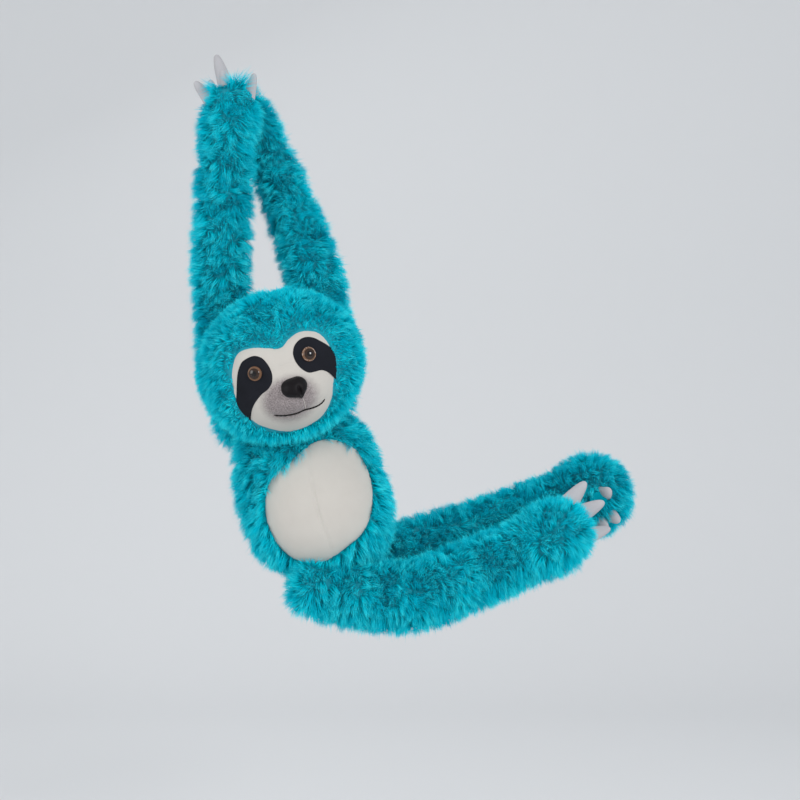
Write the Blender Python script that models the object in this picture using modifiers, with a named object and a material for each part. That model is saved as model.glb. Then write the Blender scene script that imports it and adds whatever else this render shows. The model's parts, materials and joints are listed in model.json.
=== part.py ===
"""Plush sloth with long limbs, hanging by its paws from two upright ropes.

The toy is sewn from sleeves of long-pile fabric filled with stuffing, with velour panels for
the face and the belly, safety eyes, a padded muzzle and three stuffed claws on each paw.
World frame in metres: the origin is where the hands close on their rope, the face looks along
-Y, +X is to the right as the face is seen, and +Z is up. Left and right are the toy's own.
"""

import math
from dataclasses import dataclass

import bmesh
import bpy
from mathutils import Matrix, Vector

# Fabrics and seams
PILE = 0.009
VELOUR = 0.0025
PATCH_CLOTH = 0.0010
SEAM_GAP = 0.0003
SOCKET_GAP = 0.0009
STUFFING_EASE = 0.0016
STUFFING_RELIEF = 0.0035
PAW_WALL = 0.0125
CUT_OVERRUN = 0.020

# Torso, a soft barrel whose top leans towards the raised arms
TORSO_HEIGHT = 0.222
TORSO_HALF_WIDTH = 0.0930
TORSO_FRONT = 0.080
TORSO_BACK = 0.072
TORSO_X = 0.098
TORSO_Y = -0.088
TORSO_DROP = 0.584
TORSO_TOP_SHIFT_X = 0.045
TORSO_TOP_SHIFT_Y = 0.022
BARREL_POWER_SHARE = 0.75
TORSO_TAPER_SHARE = 0.18

# Belly panel, an upright oval let into the front of the torso
BELLY_HALF_WIDTH = 0.062
BELLY_HALF_HEIGHT = 0.071
BELLY_RISE = 0.094
BELLY_SIDE = 0.003
BELLY_LEAN = -8.0
PANEL_SET_BACK = 0.0060

# Head, wide from ear to ear and round about that line
HEAD_HALF_WIDTH = 0.097
HEAD_HALF_HEIGHT = 0.087
HEAD_TILT = 20.3
HEAD_SEAT = 0.0349
HEAD_FORWARD = 0.081
NECK_PITCH = 35.0

# Face, measured from the head's middle in the tilted plane of the face
FACE_SIDE = 0.003
FACE_HALF_WIDTH = 0.0625
FACE_LOBE_TOP = 0.0310
FACE_CHIN_DROP = 0.0770
EYE_SPREAD = 0.0330
EYE_RADIUS = 0.00825
EYE_BULGE = 0.0050
EYE_STEM = 0.0022
EYE_STEM_LENGTH = 0.0120
WASHER_RADIUS = 0.0085
WASHER_THICKNESS = 0.0015
PATCH_ROUND = 0.0185
MUZZLE_HALF_WIDTH = 0.0320
MUZZLE_HALF_HEIGHT = 0.0260
MUZZLE_REACH = 0.0190
MUZZLE_DROP = 0.0430
NOSE_HALF_WIDTH = 0.0148
NOSE_HALF_HEIGHT = 0.0100
NOSE_HALF_DEPTH = 0.0075
NOSE_DROP = 0.0290
MOUTH_HALF_WIDTH = 0.0270
MOUTH_DROP = 0.0545
MOUTH_THREAD = 0.0007

# Arms
ARM_LENGTH = 0.340
ELBOW_SHARE = 0.5235
HAND_REACH = 0.045
HAND_LENGTH = 0.084
ARM_WAIST = 0.0300
ARM_SWELL = 0.0038
SHOULDER_BALL = 0.0360
ELBOW_BALL = 0.0360
WRIST_BALL = 0.0345
HAND_RADIUS = 0.0335

# Legs
LEG_LENGTH = 0.275
KNEE_SHARE = 0.4545
FOOT_REACH = 0.050
FOOT_LENGTH = 0.094
LEG_WAIST = 0.0360
LEG_SWELL = 0.0045
HIP_BALL = 0.0435
KNEE_BALL = 0.0435
ANKLE_BALL = 0.0430
FOOT_RADIUS = 0.0480

# Grips: the paws of a pair lie palm to palm with a rope between them
PALM_GAP = 0.0060
ROPE_CHANNEL = 0.0070
FOOT_ROPE_X = 0.404
HAND_DEPTH = 0.0285
FOOT_DEPTH = 0.0480
PAD_THICKNESS = 0.0024
HAND_PAD_RADIUS = 0.0090
FOOT_PAD_RADIUS = 0.0110
HAND_PAD_X = -0.0170
HAND_PAD_Z = -0.0080

# Claws
HAND_CLAW_BASE = 0.0092
FOOT_CLAW_BASE = 0.0116
CLAW_TIP = 0.0036

# Roundness of the turned and swollen forms
SLEEVE_SIDES = 16
SOCKET_SIDES = 24
STUFFING_SIDES = 9
TORSO_SIDES = 24
TORSO_RINGS = 12
HEAD_SIDES = 24
HEAD_RINGS = 12
BALL_HOLE_SHARE = 0.42
MERGE_SHARE = 0.1
BELLY_POINTS = 32
CLAW_RING_SHARES = (0.66, 0.33, 0.0)
CLAW_HOLLOW_POWER_SHARE = 1.4
PAW_BLUNTNESS = 2.6

# Half of the face panel's outline, from the notch to the chin: shares of its half width,
# and of the lobe height above or the chin depth below the middle of the head
FACE_OUTLINE_SHARES = (
    (0.00, 0.60),
    (0.20, 0.78),
    (0.42, 0.96),
    (0.62, 0.98),
    (0.82, 0.74),
    (0.96, 0.28),
    (1.00, -0.12),
    (0.97, -0.32),
    (0.84, -0.60),
    (0.62, -0.82),
    (0.34, -0.96),
    (0.00, -1.00),
)

# The eye patch's outline about the eye, in shares of the patch's round end
PATCH_OUTLINE_SHARES = (
    (-0.02, 1.00),
    (0.42, 0.86),
    (0.82, 0.44),
    (1.16, -0.10),
    (1.42, -0.62),
    (1.46, -1.10),
    (1.34, -1.72),
    (1.16, -2.22),
    (0.92, -1.80),
    (0.66, -1.42),
    (0.28, -1.12),
    (-0.30, -1.00),
    (-0.74, -0.70),
    (-0.97, -0.16),
    (-0.88, 0.46),
    (-0.52, 0.88),
)

MATERIALS = {
    "pile_fabric": ((0.0, 0.38, 0.45), 0.85),
    "stuffing": ((0.86, 0.86, 0.84), 0.95),
    "cream_velour": ((0.76, 0.70, 0.62), 0.85),
    "patch_cloth": ((0.030, 0.032, 0.042), 0.85),
    "eye_plastic": ((0.060, 0.030, 0.012), 0.12),
    "washer_plastic": ((0.80, 0.80, 0.80), 0.45),
    "muzzle_cloth": ((0.42, 0.38, 0.38), 0.85),
    "nose_cloth": ((0.020, 0.016, 0.016), 0.60),
    "thread": ((0.010, 0.010, 0.010), 0.70),
    "claw_felt": ((0.70, 0.68, 0.72), 0.80),
    "fastener_tape": ((0.02, 0.20, 0.24), 0.90),
}


@dataclass(frozen=True)
class Girth:
    """Radii along a limb: its three balls, its waists and their swell between, and its paw."""

    root_ball: float
    mid_ball: float
    end_ball: float
    waist: float
    swell: float
    paw: float


@dataclass(frozen=True)
class Limb:
    """One limb: where it is sewn on, its lengths, and how each part of it leans."""

    side: str
    parts: tuple
    root: Vector
    lengths: tuple
    leans: tuple
    depths: tuple
    paw_length: float
    girth: Girth
    palm_side: int
    pad_radius: float
    pad_spot: Vector
    rope_x: float
    claw_base: float
    claw_shares: tuple


ARM_GIRTH = Girth(SHOULDER_BALL, ELBOW_BALL, WRIST_BALL, ARM_WAIST, ARM_SWELL, HAND_RADIUS)
LEG_GIRTH = Girth(HIP_BALL, KNEE_BALL, ANKLE_BALL, LEG_WAIST, LEG_SWELL, FOOT_RADIUS)

# Where the limbs are sewn on, from the torso's foot point
RIGHT_SHOULDER_X, LEFT_SHOULDER_X = -0.0980, 0.0165
RIGHT_SHOULDER_RISE, LEFT_SHOULDER_RISE = 0.184, 0.210
SHOULDER_Y = 0.048
RIGHT_HIP_X, LEFT_HIP_X = -0.0106, 0.0406
RIGHT_HIP_RISE, LEFT_HIP_RISE = -0.0154, 0.0117
RIGHT_HIP_Y, LEFT_HIP_Y = -0.040, 0.058
ELBOW_DEPTHS = (-0.0305, -0.0120)
KNEE_DEPTHS = (-0.0890, 0.0200)

# Claws, each from its root inside the paw to its tip: shares of the paw's radius across the
# paw, ahead of its middle and out towards the palm
RIGHT_HAND_CLAW_SHARES = (
    ((-0.55, 0.28, 0.05), (-1.49, 1.10, 0.10)),
    ((-0.08, 0.45, -0.15), (-0.51, 1.62, -0.20)),
    ((0.52, 0.42, 0.05), (0.66, 1.70, 0.05)),
)
LEFT_HAND_CLAW_SHARES = (
    ((-0.80, 0.35, 0.05), (-0.15, 2.15, 0.05)),
    ((-0.22, 0.50, 0.05), (0.54, 2.79, 0.05)),
    ((0.60, 0.35, 0.05), (1.05, 1.15, 0.10)),
)
RIGHT_FOOT_CLAW_SHARES = (
    ((-0.38, 0.40, 0.25), (-0.75, 1.30, 0.32)),
    ((-0.10, 0.45, 0.25), (-0.07, 1.46, 0.32)),
    ((0.40, 0.30, 0.25), (0.60, 1.26, 0.32)),
)
LEFT_FOOT_CLAW_SHARES = (
    ((0.05, 0.33, 0.36), (-0.23, 0.32, 1.16)),
    ((0.16, 0.34, 0.36), (0.70, 0.37, 0.98)),
    ((0.36, -0.12, 0.36), (0.76, 0.06, 1.02)),
)

ARM_PARTS = ("upper_arm", "forearm", "hand")
LEG_PARTS = ("thigh", "shin", "foot")


def clear_scene():
    """Empties the file of its start-up objects."""
    for old in list(bpy.data.objects):
        bpy.data.objects.remove(old, do_unlink=True)


def make_collection(name):
    """A collection under the scene."""
    made = bpy.data.collections.new(name)
    bpy.context.scene.collection.children.link(made)
    return made


def make_material(name):
    """A plain Principled material in the part's colour."""
    colour, roughness = MATERIALS[name]
    made = bpy.data.materials.new(name)
    made.use_nodes = True
    shader = made.node_tree.nodes["Principled BSDF"]
    shader.inputs["Base Color"].default_value = (*colour, 1.0)
    shader.inputs["Roughness"].default_value = roughness
    shader.inputs["Metallic"].default_value = 0.0
    return made


clear_scene()
TOY = make_collection("plush_sloth")
CUTTERS = make_collection("cutters")
FINISH = {name: make_material(name) for name in MATERIALS}


def torso_foot():
    """The lowest middle point of the torso's barrel."""
    return Vector((TORSO_X, TORSO_Y, -TORSO_DROP))


def head_middle():
    """The middle of the head, seated on the torso's top."""
    top = Vector((-TORSO_TOP_SHIFT_X, TORSO_TOP_SHIFT_Y, TORSO_HEIGHT))
    return torso_foot() + top + Vector((0, -HEAD_FORWARD, HEAD_SEAT))


def head_turn():
    """The head's own axes: x from ear to ear, z along the neck, as a rotation matrix."""
    tilt = Matrix.Rotation(math.radians(-HEAD_TILT), 3, "Y")
    return tilt @ Matrix.Rotation(math.radians(NECK_PITCH), 3, "X")


def joint_empty(name, place, parent=None):
    """An empty on a joint's axis, which carries the pieces of one moving body."""
    made = bpy.data.objects.new(name, None)
    made.empty_display_size = PILE
    made.location = place - (parent["place"] if parent else Vector())
    if parent:
        made.parent = parent["empty"]
    TOY.objects.link(made)
    return {"empty": made, "place": place}


def put(name, mesh, finish, body, place, turn=None):
    """A named piece of the toy, carried by a body's empty."""
    made = bpy.data.objects.new(name, mesh)
    made.parent = body["empty"]
    made.location = place - body["place"]
    if turn is not None:
        made.rotation_euler = turn.to_euler()
    mesh.materials.append(FINISH[finish])
    TOY.objects.link(made)
    return made


def put_cutter(name, mesh, place, turn=None):
    """A cutter, kept out of renders."""
    made = bpy.data.objects.new(name, mesh)
    made.location = place
    if turn is not None:
        made.rotation_euler = turn.to_euler()
    made.hide_render = True
    made.display_type = "WIRE"
    CUTTERS.objects.link(made)
    return made


def cut(piece, cutter, how="DIFFERENCE"):
    """Cuts a piece, or keeps only what lies inside the cutter."""
    step = piece.modifiers.new(how.lower(), "BOOLEAN")
    step.operation = how
    step.solver = "EXACT"
    step.object = cutter


def turned_mesh(name, points, closed):
    """The half section of a turned form, as points of radius and height."""
    mesh = bpy.data.meshes.new(name)
    edges = [(i, i + 1) for i in range(len(points) - 1)]
    if closed:
        edges.append((len(points) - 1, 0))
    mesh.from_pydata([(radius, 0, height) for radius, height in points], edges, [])
    return mesh


def add_turn(piece, sides):
    """Turns a half section about its own Z axis."""
    step = piece.modifiers.new("turn", "SCREW")
    step.axis = "Z"
    step.steps = sides
    step.render_steps = sides
    step.use_merge_vertices = True
    step.merge_threshold = SEAM_GAP * MERGE_SHARE
    step.use_smooth_shade = True


def facing(direction):
    """The rotation that takes local +Z to a direction."""
    return direction.to_track_quat("Z", "Y").to_matrix()


def lean_vector(length, lean, depth_step):
    """A vector of this length that leans from +Z towards +X and gains a given depth."""
    flat = math.sqrt(length**2 - depth_step**2)
    angle = math.radians(lean)
    return Vector((flat * math.sin(angle), depth_step, flat * math.cos(angle)))


def ball_arc(ball, waist, hole, count=4):
    """Points of a ball about the origin, from its waist above down to the hole below."""
    high = math.pi - math.asin(waist / ball)
    low = math.asin(hole)
    angles = [high + (low - high) * i / count for i in range(count + 1)]
    return [(ball * math.sin(a), -ball * math.cos(a)) for a in angles]


def tube_side(waist, swell, low, high, count=3):
    """Points down a tube's side that swells between its two waists."""
    found = []
    for i in range(count):
        t = 1 - i / count
        found.append((waist + swell * math.sin(math.pi * t), low + (high - low) * t))
    return found


def socket_height(length, socket, radius):
    """How high a form of this radius reaches before it meets the next ball's socket."""
    return length - math.sqrt(socket**2 - radius**2)


def sleeve_points(length, ball, waist, swell, socket, inset, hole, count=4):
    """The side of a limb's sleeve or filling, from its mouth down to its ball's hole."""
    radius = waist - inset
    arc = ball_arc(ball - inset, radius, hole, count)
    return tube_side(radius, swell, arc[0][1], socket_height(length, socket, radius)) + arc


def paw_points(length, reach, ball, waist, palm, inset, hole):
    """The side of a paw, from its blunt end down to its ball's hole."""
    found = []
    count = 5
    tip = length - reach - inset
    for i in range(count):
        angle = math.radians(90.0 * (1 - i / count))
        radius = (palm - inset) * math.cos(angle) ** (2 / PAW_BLUNTNESS) if i else 0.0
        found.append((radius, reach + tip * math.sin(angle) ** (2 / PAW_BLUNTNESS)))
    arc = ball_arc(ball - inset, waist - inset, hole, 3)
    low = arc[0][1]
    for t in (1.0, 0.5):
        found.append((waist - inset + (palm - waist) * t, low + (reach - low) * t))
    return found + arc


def swollen(name, shape, sides, rings, inset):
    """A sphere whose points are moved by a shape function, at a distance inside the surface."""
    bm = bmesh.new()
    bmesh.ops.create_uvsphere(bm, u_segments=sides, v_segments=rings, radius=1)
    for vert in bm.verts:
        vert.co = shape(vert.co.copy(), inset)
    mesh = bpy.data.meshes.new(name)
    bm.to_mesh(mesh)
    bm.free()
    mesh.shade_smooth()
    return mesh


def swollen_shell(name, shape, sides, rings, outer, inner, open_top):
    """A shell between two insets of one shape, open at its top or bottom pole."""
    bm = bmesh.new()
    rims = []
    for inset, flip in ((outer, False), (inner, True)):
        made = bmesh.ops.create_uvsphere(bm, u_segments=sides, v_segments=rings, radius=1)["verts"]
        pole = max(made, key=lambda v: v.co.z if open_top else -v.co.z)
        rim = [edge for face in pole.link_faces for edge in face.edges if pole not in edge.verts]
        rims += rim
        faces = {face for vert in made for face in vert.link_faces}
        for vert in made:
            vert.co = shape(vert.co.copy(), inset)
        if flip:
            bmesh.ops.reverse_faces(bm, faces=list(faces))
        bmesh.ops.delete(bm, geom=[pole], context="VERTS")
    bmesh.ops.bridge_loops(bm, edges=rims)
    bmesh.ops.recalc_face_normals(bm, faces=bm.faces)
    mesh = bpy.data.meshes.new(name)
    bm.to_mesh(mesh)
    bm.free()
    mesh.shade_smooth()
    return mesh


def torso_shape(unit, inset):
    """The barrel of the torso about its foot point, fuller in front than behind."""
    t = (1 + unit.z) / 2
    around = math.hypot(unit.x, unit.y)
    share = around**BARREL_POWER_SHARE * (1 - TORSO_TAPER_SHARE * t * t)
    cos, sin = (unit.x / around, unit.y / around) if around > 0 else (0, 0)
    half_depth = (TORSO_FRONT if sin < 0 else TORSO_BACK) - inset
    x = (TORSO_HALF_WIDTH - inset) * share * cos - TORSO_TOP_SHIFT_X * t * t
    y = half_depth * share * sin + TORSO_TOP_SHIFT_Y * t * t
    return Vector((x, y, inset + (TORSO_HEIGHT - 2 * inset) * t))


def head_shape(unit, inset):
    """The head about its middle, widest from ear to ear."""
    height = HEAD_HALF_HEIGHT - inset
    return Vector((unit.x * (HEAD_HALF_WIDTH - inset), unit.y * height, unit.z * height))


def head_sweep(unit, inset):
    """All the space that the head needs as it turns about its neck."""
    wide = HEAD_HALF_WIDTH - inset
    return Vector((unit.x * wide, unit.y * wide, unit.z * (HEAD_HALF_HEIGHT - inset)))


def smooth_outline(points, steps=2):
    """A closed smooth line through points, as a Catmull-Rom curve."""
    found = []
    count = len(points)
    for i in range(count):
        a, b, c, d = (Vector(points[(i + k) % count]) for k in (-1, 0, 1, 2))
        for step in range(steps):
            t = step / steps
            ahead = (c - a) * t + (2 * a - 5 * b + 4 * c - d) * t * t
            found.append(b + (ahead + (3 * b - a - 3 * c + d) * t**3) / 2)
    return found


def grown_outline(points, growth):
    """An outline with each point moved out along its own normal."""
    found = []
    count = len(points)
    for i, point in enumerate(points):
        along = points[(i + 1) % count] - points[i - 1]
        normal = Vector((-along.y, along.x)).normalized()
        found.append(point + normal * growth)
    return found


def prism_mesh(name, outline, near, far):
    """An outline in the XZ plane, which runs clockwise as seen from -Y, drawn out along Y."""
    bm = bmesh.new()
    ring = [bm.verts.new((point.x, near, point.y)) for point in outline]
    face = bm.faces.new(ring)
    made = bmesh.ops.extrude_face_region(bm, geom=[face])["geom"]
    moved = [item for item in made if isinstance(item, bmesh.types.BMVert)]
    bmesh.ops.translate(bm, verts=moved, vec=(0, far - near, 0))
    bmesh.ops.recalc_face_normals(bm, faces=bm.faces)
    mesh = bpy.data.meshes.new(name)
    bm.to_mesh(mesh)
    bm.free()
    return mesh


def face_outline():
    """The heart-shaped face panel, clockwise as seen from the front."""
    half = []
    for across, up in FACE_OUTLINE_SHARES:
        height = FACE_LOBE_TOP if up > 0 else FACE_CHIN_DROP
        half.append((across * FACE_HALF_WIDTH, up * height))
    mirrored = [(-x, z) for x, z in reversed(half[1:-1])]
    return [p + Vector((FACE_SIDE, 0)) for p in smooth_outline(half + mirrored)]


def patch_outline(hand):
    """An eye patch that sweeps out and down to the rim of the face, on one side."""
    points = []
    for across, up in PATCH_OUTLINE_SHARES:
        points.append((hand * (EYE_SPREAD + across * PATCH_ROUND), up * PATCH_ROUND))
    if hand < 0:
        points.reverse()
    return [p + Vector((FACE_SIDE, 0)) for p in smooth_outline(points)]


def belly_outline():
    """The belly oval, clockwise as seen from the front."""
    lean = Matrix.Rotation(math.radians(BELLY_LEAN), 2)
    found = []
    for i in range(BELLY_POINTS):
        angle = -math.tau * i / BELLY_POINTS
        spoke = Vector((BELLY_HALF_WIDTH * math.cos(angle), BELLY_HALF_HEIGHT * math.sin(angle)))
        found.append(lean @ spoke)
    return found


def face_place(across, up):
    """A point of the tilted face plane through the head's middle, in the world."""
    turn = Matrix.Rotation(math.radians(-HEAD_TILT), 3, "Y")
    return head_middle() + turn @ Vector((across + FACE_SIDE, 0, up))


def on_head(across, up, inset):
    """Where a line from the front through a face point meets the head, and the way out there."""
    turn = head_turn()
    start = turn.inverted() @ (face_place(across, up) - head_middle())
    ahead = turn.inverted() @ Vector((0, -1, 0))
    wide, high = HEAD_HALF_WIDTH - inset, HEAD_HALF_HEIGHT - inset
    scale = Vector((1 / wide, 1 / high, 1 / high))
    s = Vector((start.x * scale.x, start.y * scale.y, start.z * scale.z))
    d = Vector((ahead.x * scale.x, ahead.y * scale.y, ahead.z * scale.z))
    a, b, c = d.dot(d), s.dot(d), s.dot(s) - 1
    reach = (-b + math.sqrt(b * b - a * c)) / a
    local = start + ahead * reach
    normal = Vector((local.x * scale.x**2, local.y * scale.y**2, local.z * scale.z**2)).normalized()
    return head_middle() + turn @ local, turn @ normal


def sewn_panel(name, finish, body, middle, tilt, outline, outer_cut, inner_cut, depth):
    """A flat outline drawn back into a form, kept between two insets of its surface."""
    mesh = prism_mesh(name, outline, -depth, 0)
    piece = put(name, mesh, finish, body, middle, tilt)
    cut(piece, outer_cut, "INTERSECT")
    cut(piece, inner_cut)
    return piece


def socket_cutter(limb):
    """The room that a limb's first stretch takes up in the torso where it is sewn on."""
    _, vectors = limb_places(limb)
    girth = limb.girth
    sizes = (vectors[0].length, girth.root_ball, girth.waist, girth.swell, girth.mid_ball)
    side = sleeve_points(*sizes, -SOCKET_GAP, 0, SOCKET_SIDES // 2)
    points = [(0.0, side[0][1])] + side[:-1] + [(0.0, side[-1][1])]
    name = f"{limb.parts[0]}_{limb.side}_socket"
    cutter = put_cutter(name, turned_mesh(name, points, False), limb.root, facing(vectors[0]))
    add_turn(cutter, SOCKET_SIDES)
    return cutter


def build_torso(found):
    """The torso's sleeve, its filling and the belly panel, with a socket for each limb."""
    foot = torso_foot()
    body = joint_empty("torso_body", foot)
    shell = swollen_shell("torso_skin", torso_shape, TORSO_SIDES, TORSO_RINGS, 0, PILE, True)
    skin = put("torso_skin", shell, "pile_fabric", body, foot)
    core = swollen("torso_stuffing", torso_shape, TORSO_SIDES, TORSO_RINGS, PILE + SEAM_GAP)
    filling = put("torso_stuffing", core, "stuffing", body, foot)

    sweep = swollen("head_sweep", head_sweep, HEAD_SIDES, HEAD_RINGS, -SOCKET_GAP)
    head_cutter = put_cutter("head_sweep_cutter", sweep, head_middle(), head_turn())
    sockets = [socket_cutter(limb) for limb in found]
    for cutter in (head_cutter, *sockets):
        cut(skin, cutter)
        cut(filling, cutter)

    shift = TORSO_TOP_SHIFT_X * (BELLY_RISE / TORSO_HEIGHT) ** 2
    middle = foot + Vector((BELLY_SIDE - shift, 0, BELLY_RISE))
    window = prism_mesh("belly_window", belly_outline(), -TORSO_FRONT - CUT_OVERRUN, 0)
    cut(skin, put_cutter("belly_window_cutter", window, middle))
    layers = []
    for name, inset in (("belly_top", PANEL_SET_BACK), ("belly_back", PANEL_SET_BACK + VELOUR)):
        layer = swollen(name, torso_shape, TORSO_SIDES, TORSO_RINGS, inset)
        layers.append(put_cutter(f"{name}_cutter", layer, foot))
    outline = grown_outline(belly_outline(), -SEAM_GAP)
    depth = TORSO_FRONT + CUT_OVERRUN
    panel = sewn_panel("belly_panel", "cream_velour", body, middle, None, outline, *layers, depth)
    for cutter in sockets:
        cut(panel, cutter)
    return body


def build_head(torso):
    """The head's sleeve and filling, the face panel with its patches, eyes, muzzle and nose."""
    middle, turn = head_middle(), head_turn()
    tilt = Matrix.Rotation(math.radians(-HEAD_TILT), 3, "Y")
    body = joint_empty("head_body", middle, torso)
    shell = swollen_shell("head_skin", head_shape, HEAD_SIDES, HEAD_RINGS, 0, PILE, False)
    skin = put("head_skin", shell, "pile_fabric", body, middle, turn)
    core = swollen("head_stuffing", head_shape, HEAD_SIDES, HEAD_RINGS, PILE + SEAM_GAP)
    filling = put("head_stuffing", core, "stuffing", body, middle, turn)

    def layer(name, inset):
        """The head's surface at an inset, as a cutter."""
        mesh = swollen(name, head_shape, HEAD_SIDES, HEAD_RINGS, inset)
        return put_cutter(name, mesh, middle, turn)

    depth = HEAD_HALF_WIDTH + CUT_OVERRUN
    window = prism_mesh("face_window", face_outline(), -depth, 0)
    cut(skin, put_cutter("face_window_cutter", window, middle, tilt))
    panel_top = layer("face_top_cutter", PANEL_SET_BACK)
    panel_back = layer("face_back_cutter", PANEL_SET_BACK + VELOUR)
    outline = grown_outline(face_outline(), -SEAM_GAP)
    layers = (panel_top, panel_back)
    panel = sewn_panel("face_panel", "cream_velour", body, middle, tilt, outline, *layers, depth)
    patch_back = layer("patch_back_cutter", PANEL_SET_BACK - SEAM_GAP)
    patch_top = layer("patch_top_cutter", PANEL_SET_BACK - SEAM_GAP - PATCH_CLOTH)
    window_gap = prism_mesh("patch_limit", grown_outline(face_outline(), -2 * SEAM_GAP), -depth, 0)
    patch_limit = put_cutter("patch_limit_cutter", window_gap, middle, tilt)

    for side, hand in (("right", -1), ("left", 1)):
        patch = sewn_panel(
            f"eye_patch_{side}",
            "patch_cloth",
            body,
            middle,
            tilt,
            patch_outline(hand),
            patch_top,
            patch_back,
            depth,
        )
        cut(patch, patch_limit, "INTERSECT")
        build_eye(side, hand, body, (patch, panel, filling))
    build_muzzle(body, patch_back, tilt)


def build_eye(side, hand, body, layers):
    """A safety eye on its stem, and the washer that locks it behind the face panel."""
    seat, normal = on_head(hand * EYE_SPREAD, 0, PANEL_SET_BACK - SEAM_GAP - PATCH_CLOTH)
    turn = facing(normal)
    rim = EYE_BULGE * 0.25
    dome = []
    for i in range(5):
        angle = math.radians(90.0 - 90.0 * i / 4)
        dome.append((EYE_RADIUS * math.cos(angle), rim + (EYE_BULGE - rim) * math.sin(angle)))
    dome[0] = (0.0, EYE_BULGE)
    points = dome + [(EYE_RADIUS, 0.0), (EYE_STEM, 0.0), (EYE_STEM, -EYE_STEM_LENGTH)]
    points.append((0.0, -EYE_STEM_LENGTH))
    section = turned_mesh(f"eye_{side}", points, False)
    eye = put(f"eye_{side}", section, "eye_plastic", body, seat + normal * SEAM_GAP, turn)
    add_turn(eye, 16)

    stem_hole = EYE_STEM + SEAM_GAP
    bore = [(0.0, EYE_BULGE), (stem_hole, EYE_BULGE), (stem_hole, -EYE_STEM_LENGTH - SEAM_GAP)]
    bore.append((0.0, -EYE_STEM_LENGTH - SEAM_GAP))
    drill = put_cutter(f"eye_{side}_bore", turned_mesh(f"eye_{side}_bore", bore, False), seat, turn)
    add_turn(drill, 12)
    for sheet in layers:
        cut(sheet, drill)

    drop = PATCH_CLOTH + SEAM_GAP + VELOUR + 2 * SOCKET_GAP
    top, low = -drop, -drop - WASHER_THICKNESS
    ring = [(WASHER_RADIUS, top), (WASHER_RADIUS, low), (stem_hole, low), (stem_hole, top)]
    name = f"eye_washer_{side}"
    washer = put(name, turned_mesh(name, ring, True), "washer_plastic", body, seat, turn)
    add_turn(washer, 16)
    wide, deep = WASHER_RADIUS + SEAM_GAP, low - SEAM_GAP
    pocket = [(0.0, top + VELOUR), (wide, top + VELOUR), (wide, deep), (0.0, deep)]
    hollow = put_cutter(f"{name}_pocket", turned_mesh(f"{name}_pocket", pocket, False), seat, turn)
    add_turn(hollow, 16)
    cut(layers[-1], hollow)


def build_muzzle(body, face_cutter, tilt):
    """The padded muzzle on the face panel, the nose on it, and the stitched mouth."""
    seat, _ = on_head(0, -MUZZLE_DROP, PANEL_SET_BACK)
    radii = Vector((MUZZLE_HALF_WIDTH, MUZZLE_REACH, MUZZLE_HALF_HEIGHT))

    def muzzle_shape(unit, inset):
        """The muzzle's dome about its middle on the face."""
        return Vector((unit[i] * (radii[i] - inset) for i in range(3)))

    muzzle = put(
        "muzzle", swollen("muzzle", muzzle_shape, 20, 12, 0), "muzzle_cloth", body, seat, tilt
    )
    cut(muzzle, face_cutter)
    grown = swollen("muzzle_cutter", muzzle_shape, 20, 12, -SEAM_GAP)
    muzzle_cutter = put_cutter("muzzle_cutter", grown, seat, tilt)

    def on_muzzle(across, up, out):
        """A point of the muzzle's front, raised by a distance."""
        x, z = across, up + MUZZLE_DROP
        rest = max(1 - (x / radii.x) ** 2 - (z / radii.z) ** 2, 0)
        return seat + tilt @ Vector((x, -radii.y * math.sqrt(rest) - out, z))

    nose_size = Vector((NOSE_HALF_WIDTH, NOSE_HALF_DEPTH, NOSE_HALF_HEIGHT))

    def nose_shape(unit, inset):
        """The nose, a rounded triangle with its point down."""
        narrow = 1 - 0.28 * max(-unit.z, 0)
        return Vector((unit.x * narrow * nose_size.x, unit.y * nose_size.y, unit.z * nose_size.z))

    nose_seat = on_muzzle(0, -NOSE_DROP, NOSE_HALF_DEPTH / 3)
    nose = put("nose", swollen("nose", nose_shape, 14, 8, 0), "nose_cloth", body, nose_seat, tilt)
    cut(nose, muzzle_cutter)
    cut(nose, face_cutter)

    curve = bpy.data.curves.new("mouth_stitch", "CURVE")
    curve.dimensions = "3D"
    curve.bevel_depth = MOUTH_THREAD
    curve.bevel_resolution = 1
    curve.use_fill_caps = True
    line = curve.splines.new("POLY")
    count = 12
    line.points.add(count)
    for i in range(count + 1):
        across = MOUTH_HALF_WIDTH * (2 * i / count - 1)
        lift = MOUTH_THREAD * 4 * (across / MOUTH_HALF_WIDTH) ** 2
        place = on_muzzle(across, -MOUTH_DROP + lift, MOUTH_THREAD + 2 * SEAM_GAP)
        line.points[i].co = (*(place - seat), 1.0)
    mouth = bpy.data.objects.new("mouth_stitch", curve)
    mouth.parent = body["empty"]
    mouth.location = seat - body["place"]
    curve.materials.append(FINISH["thread"])
    TOY.objects.link(mouth)


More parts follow.
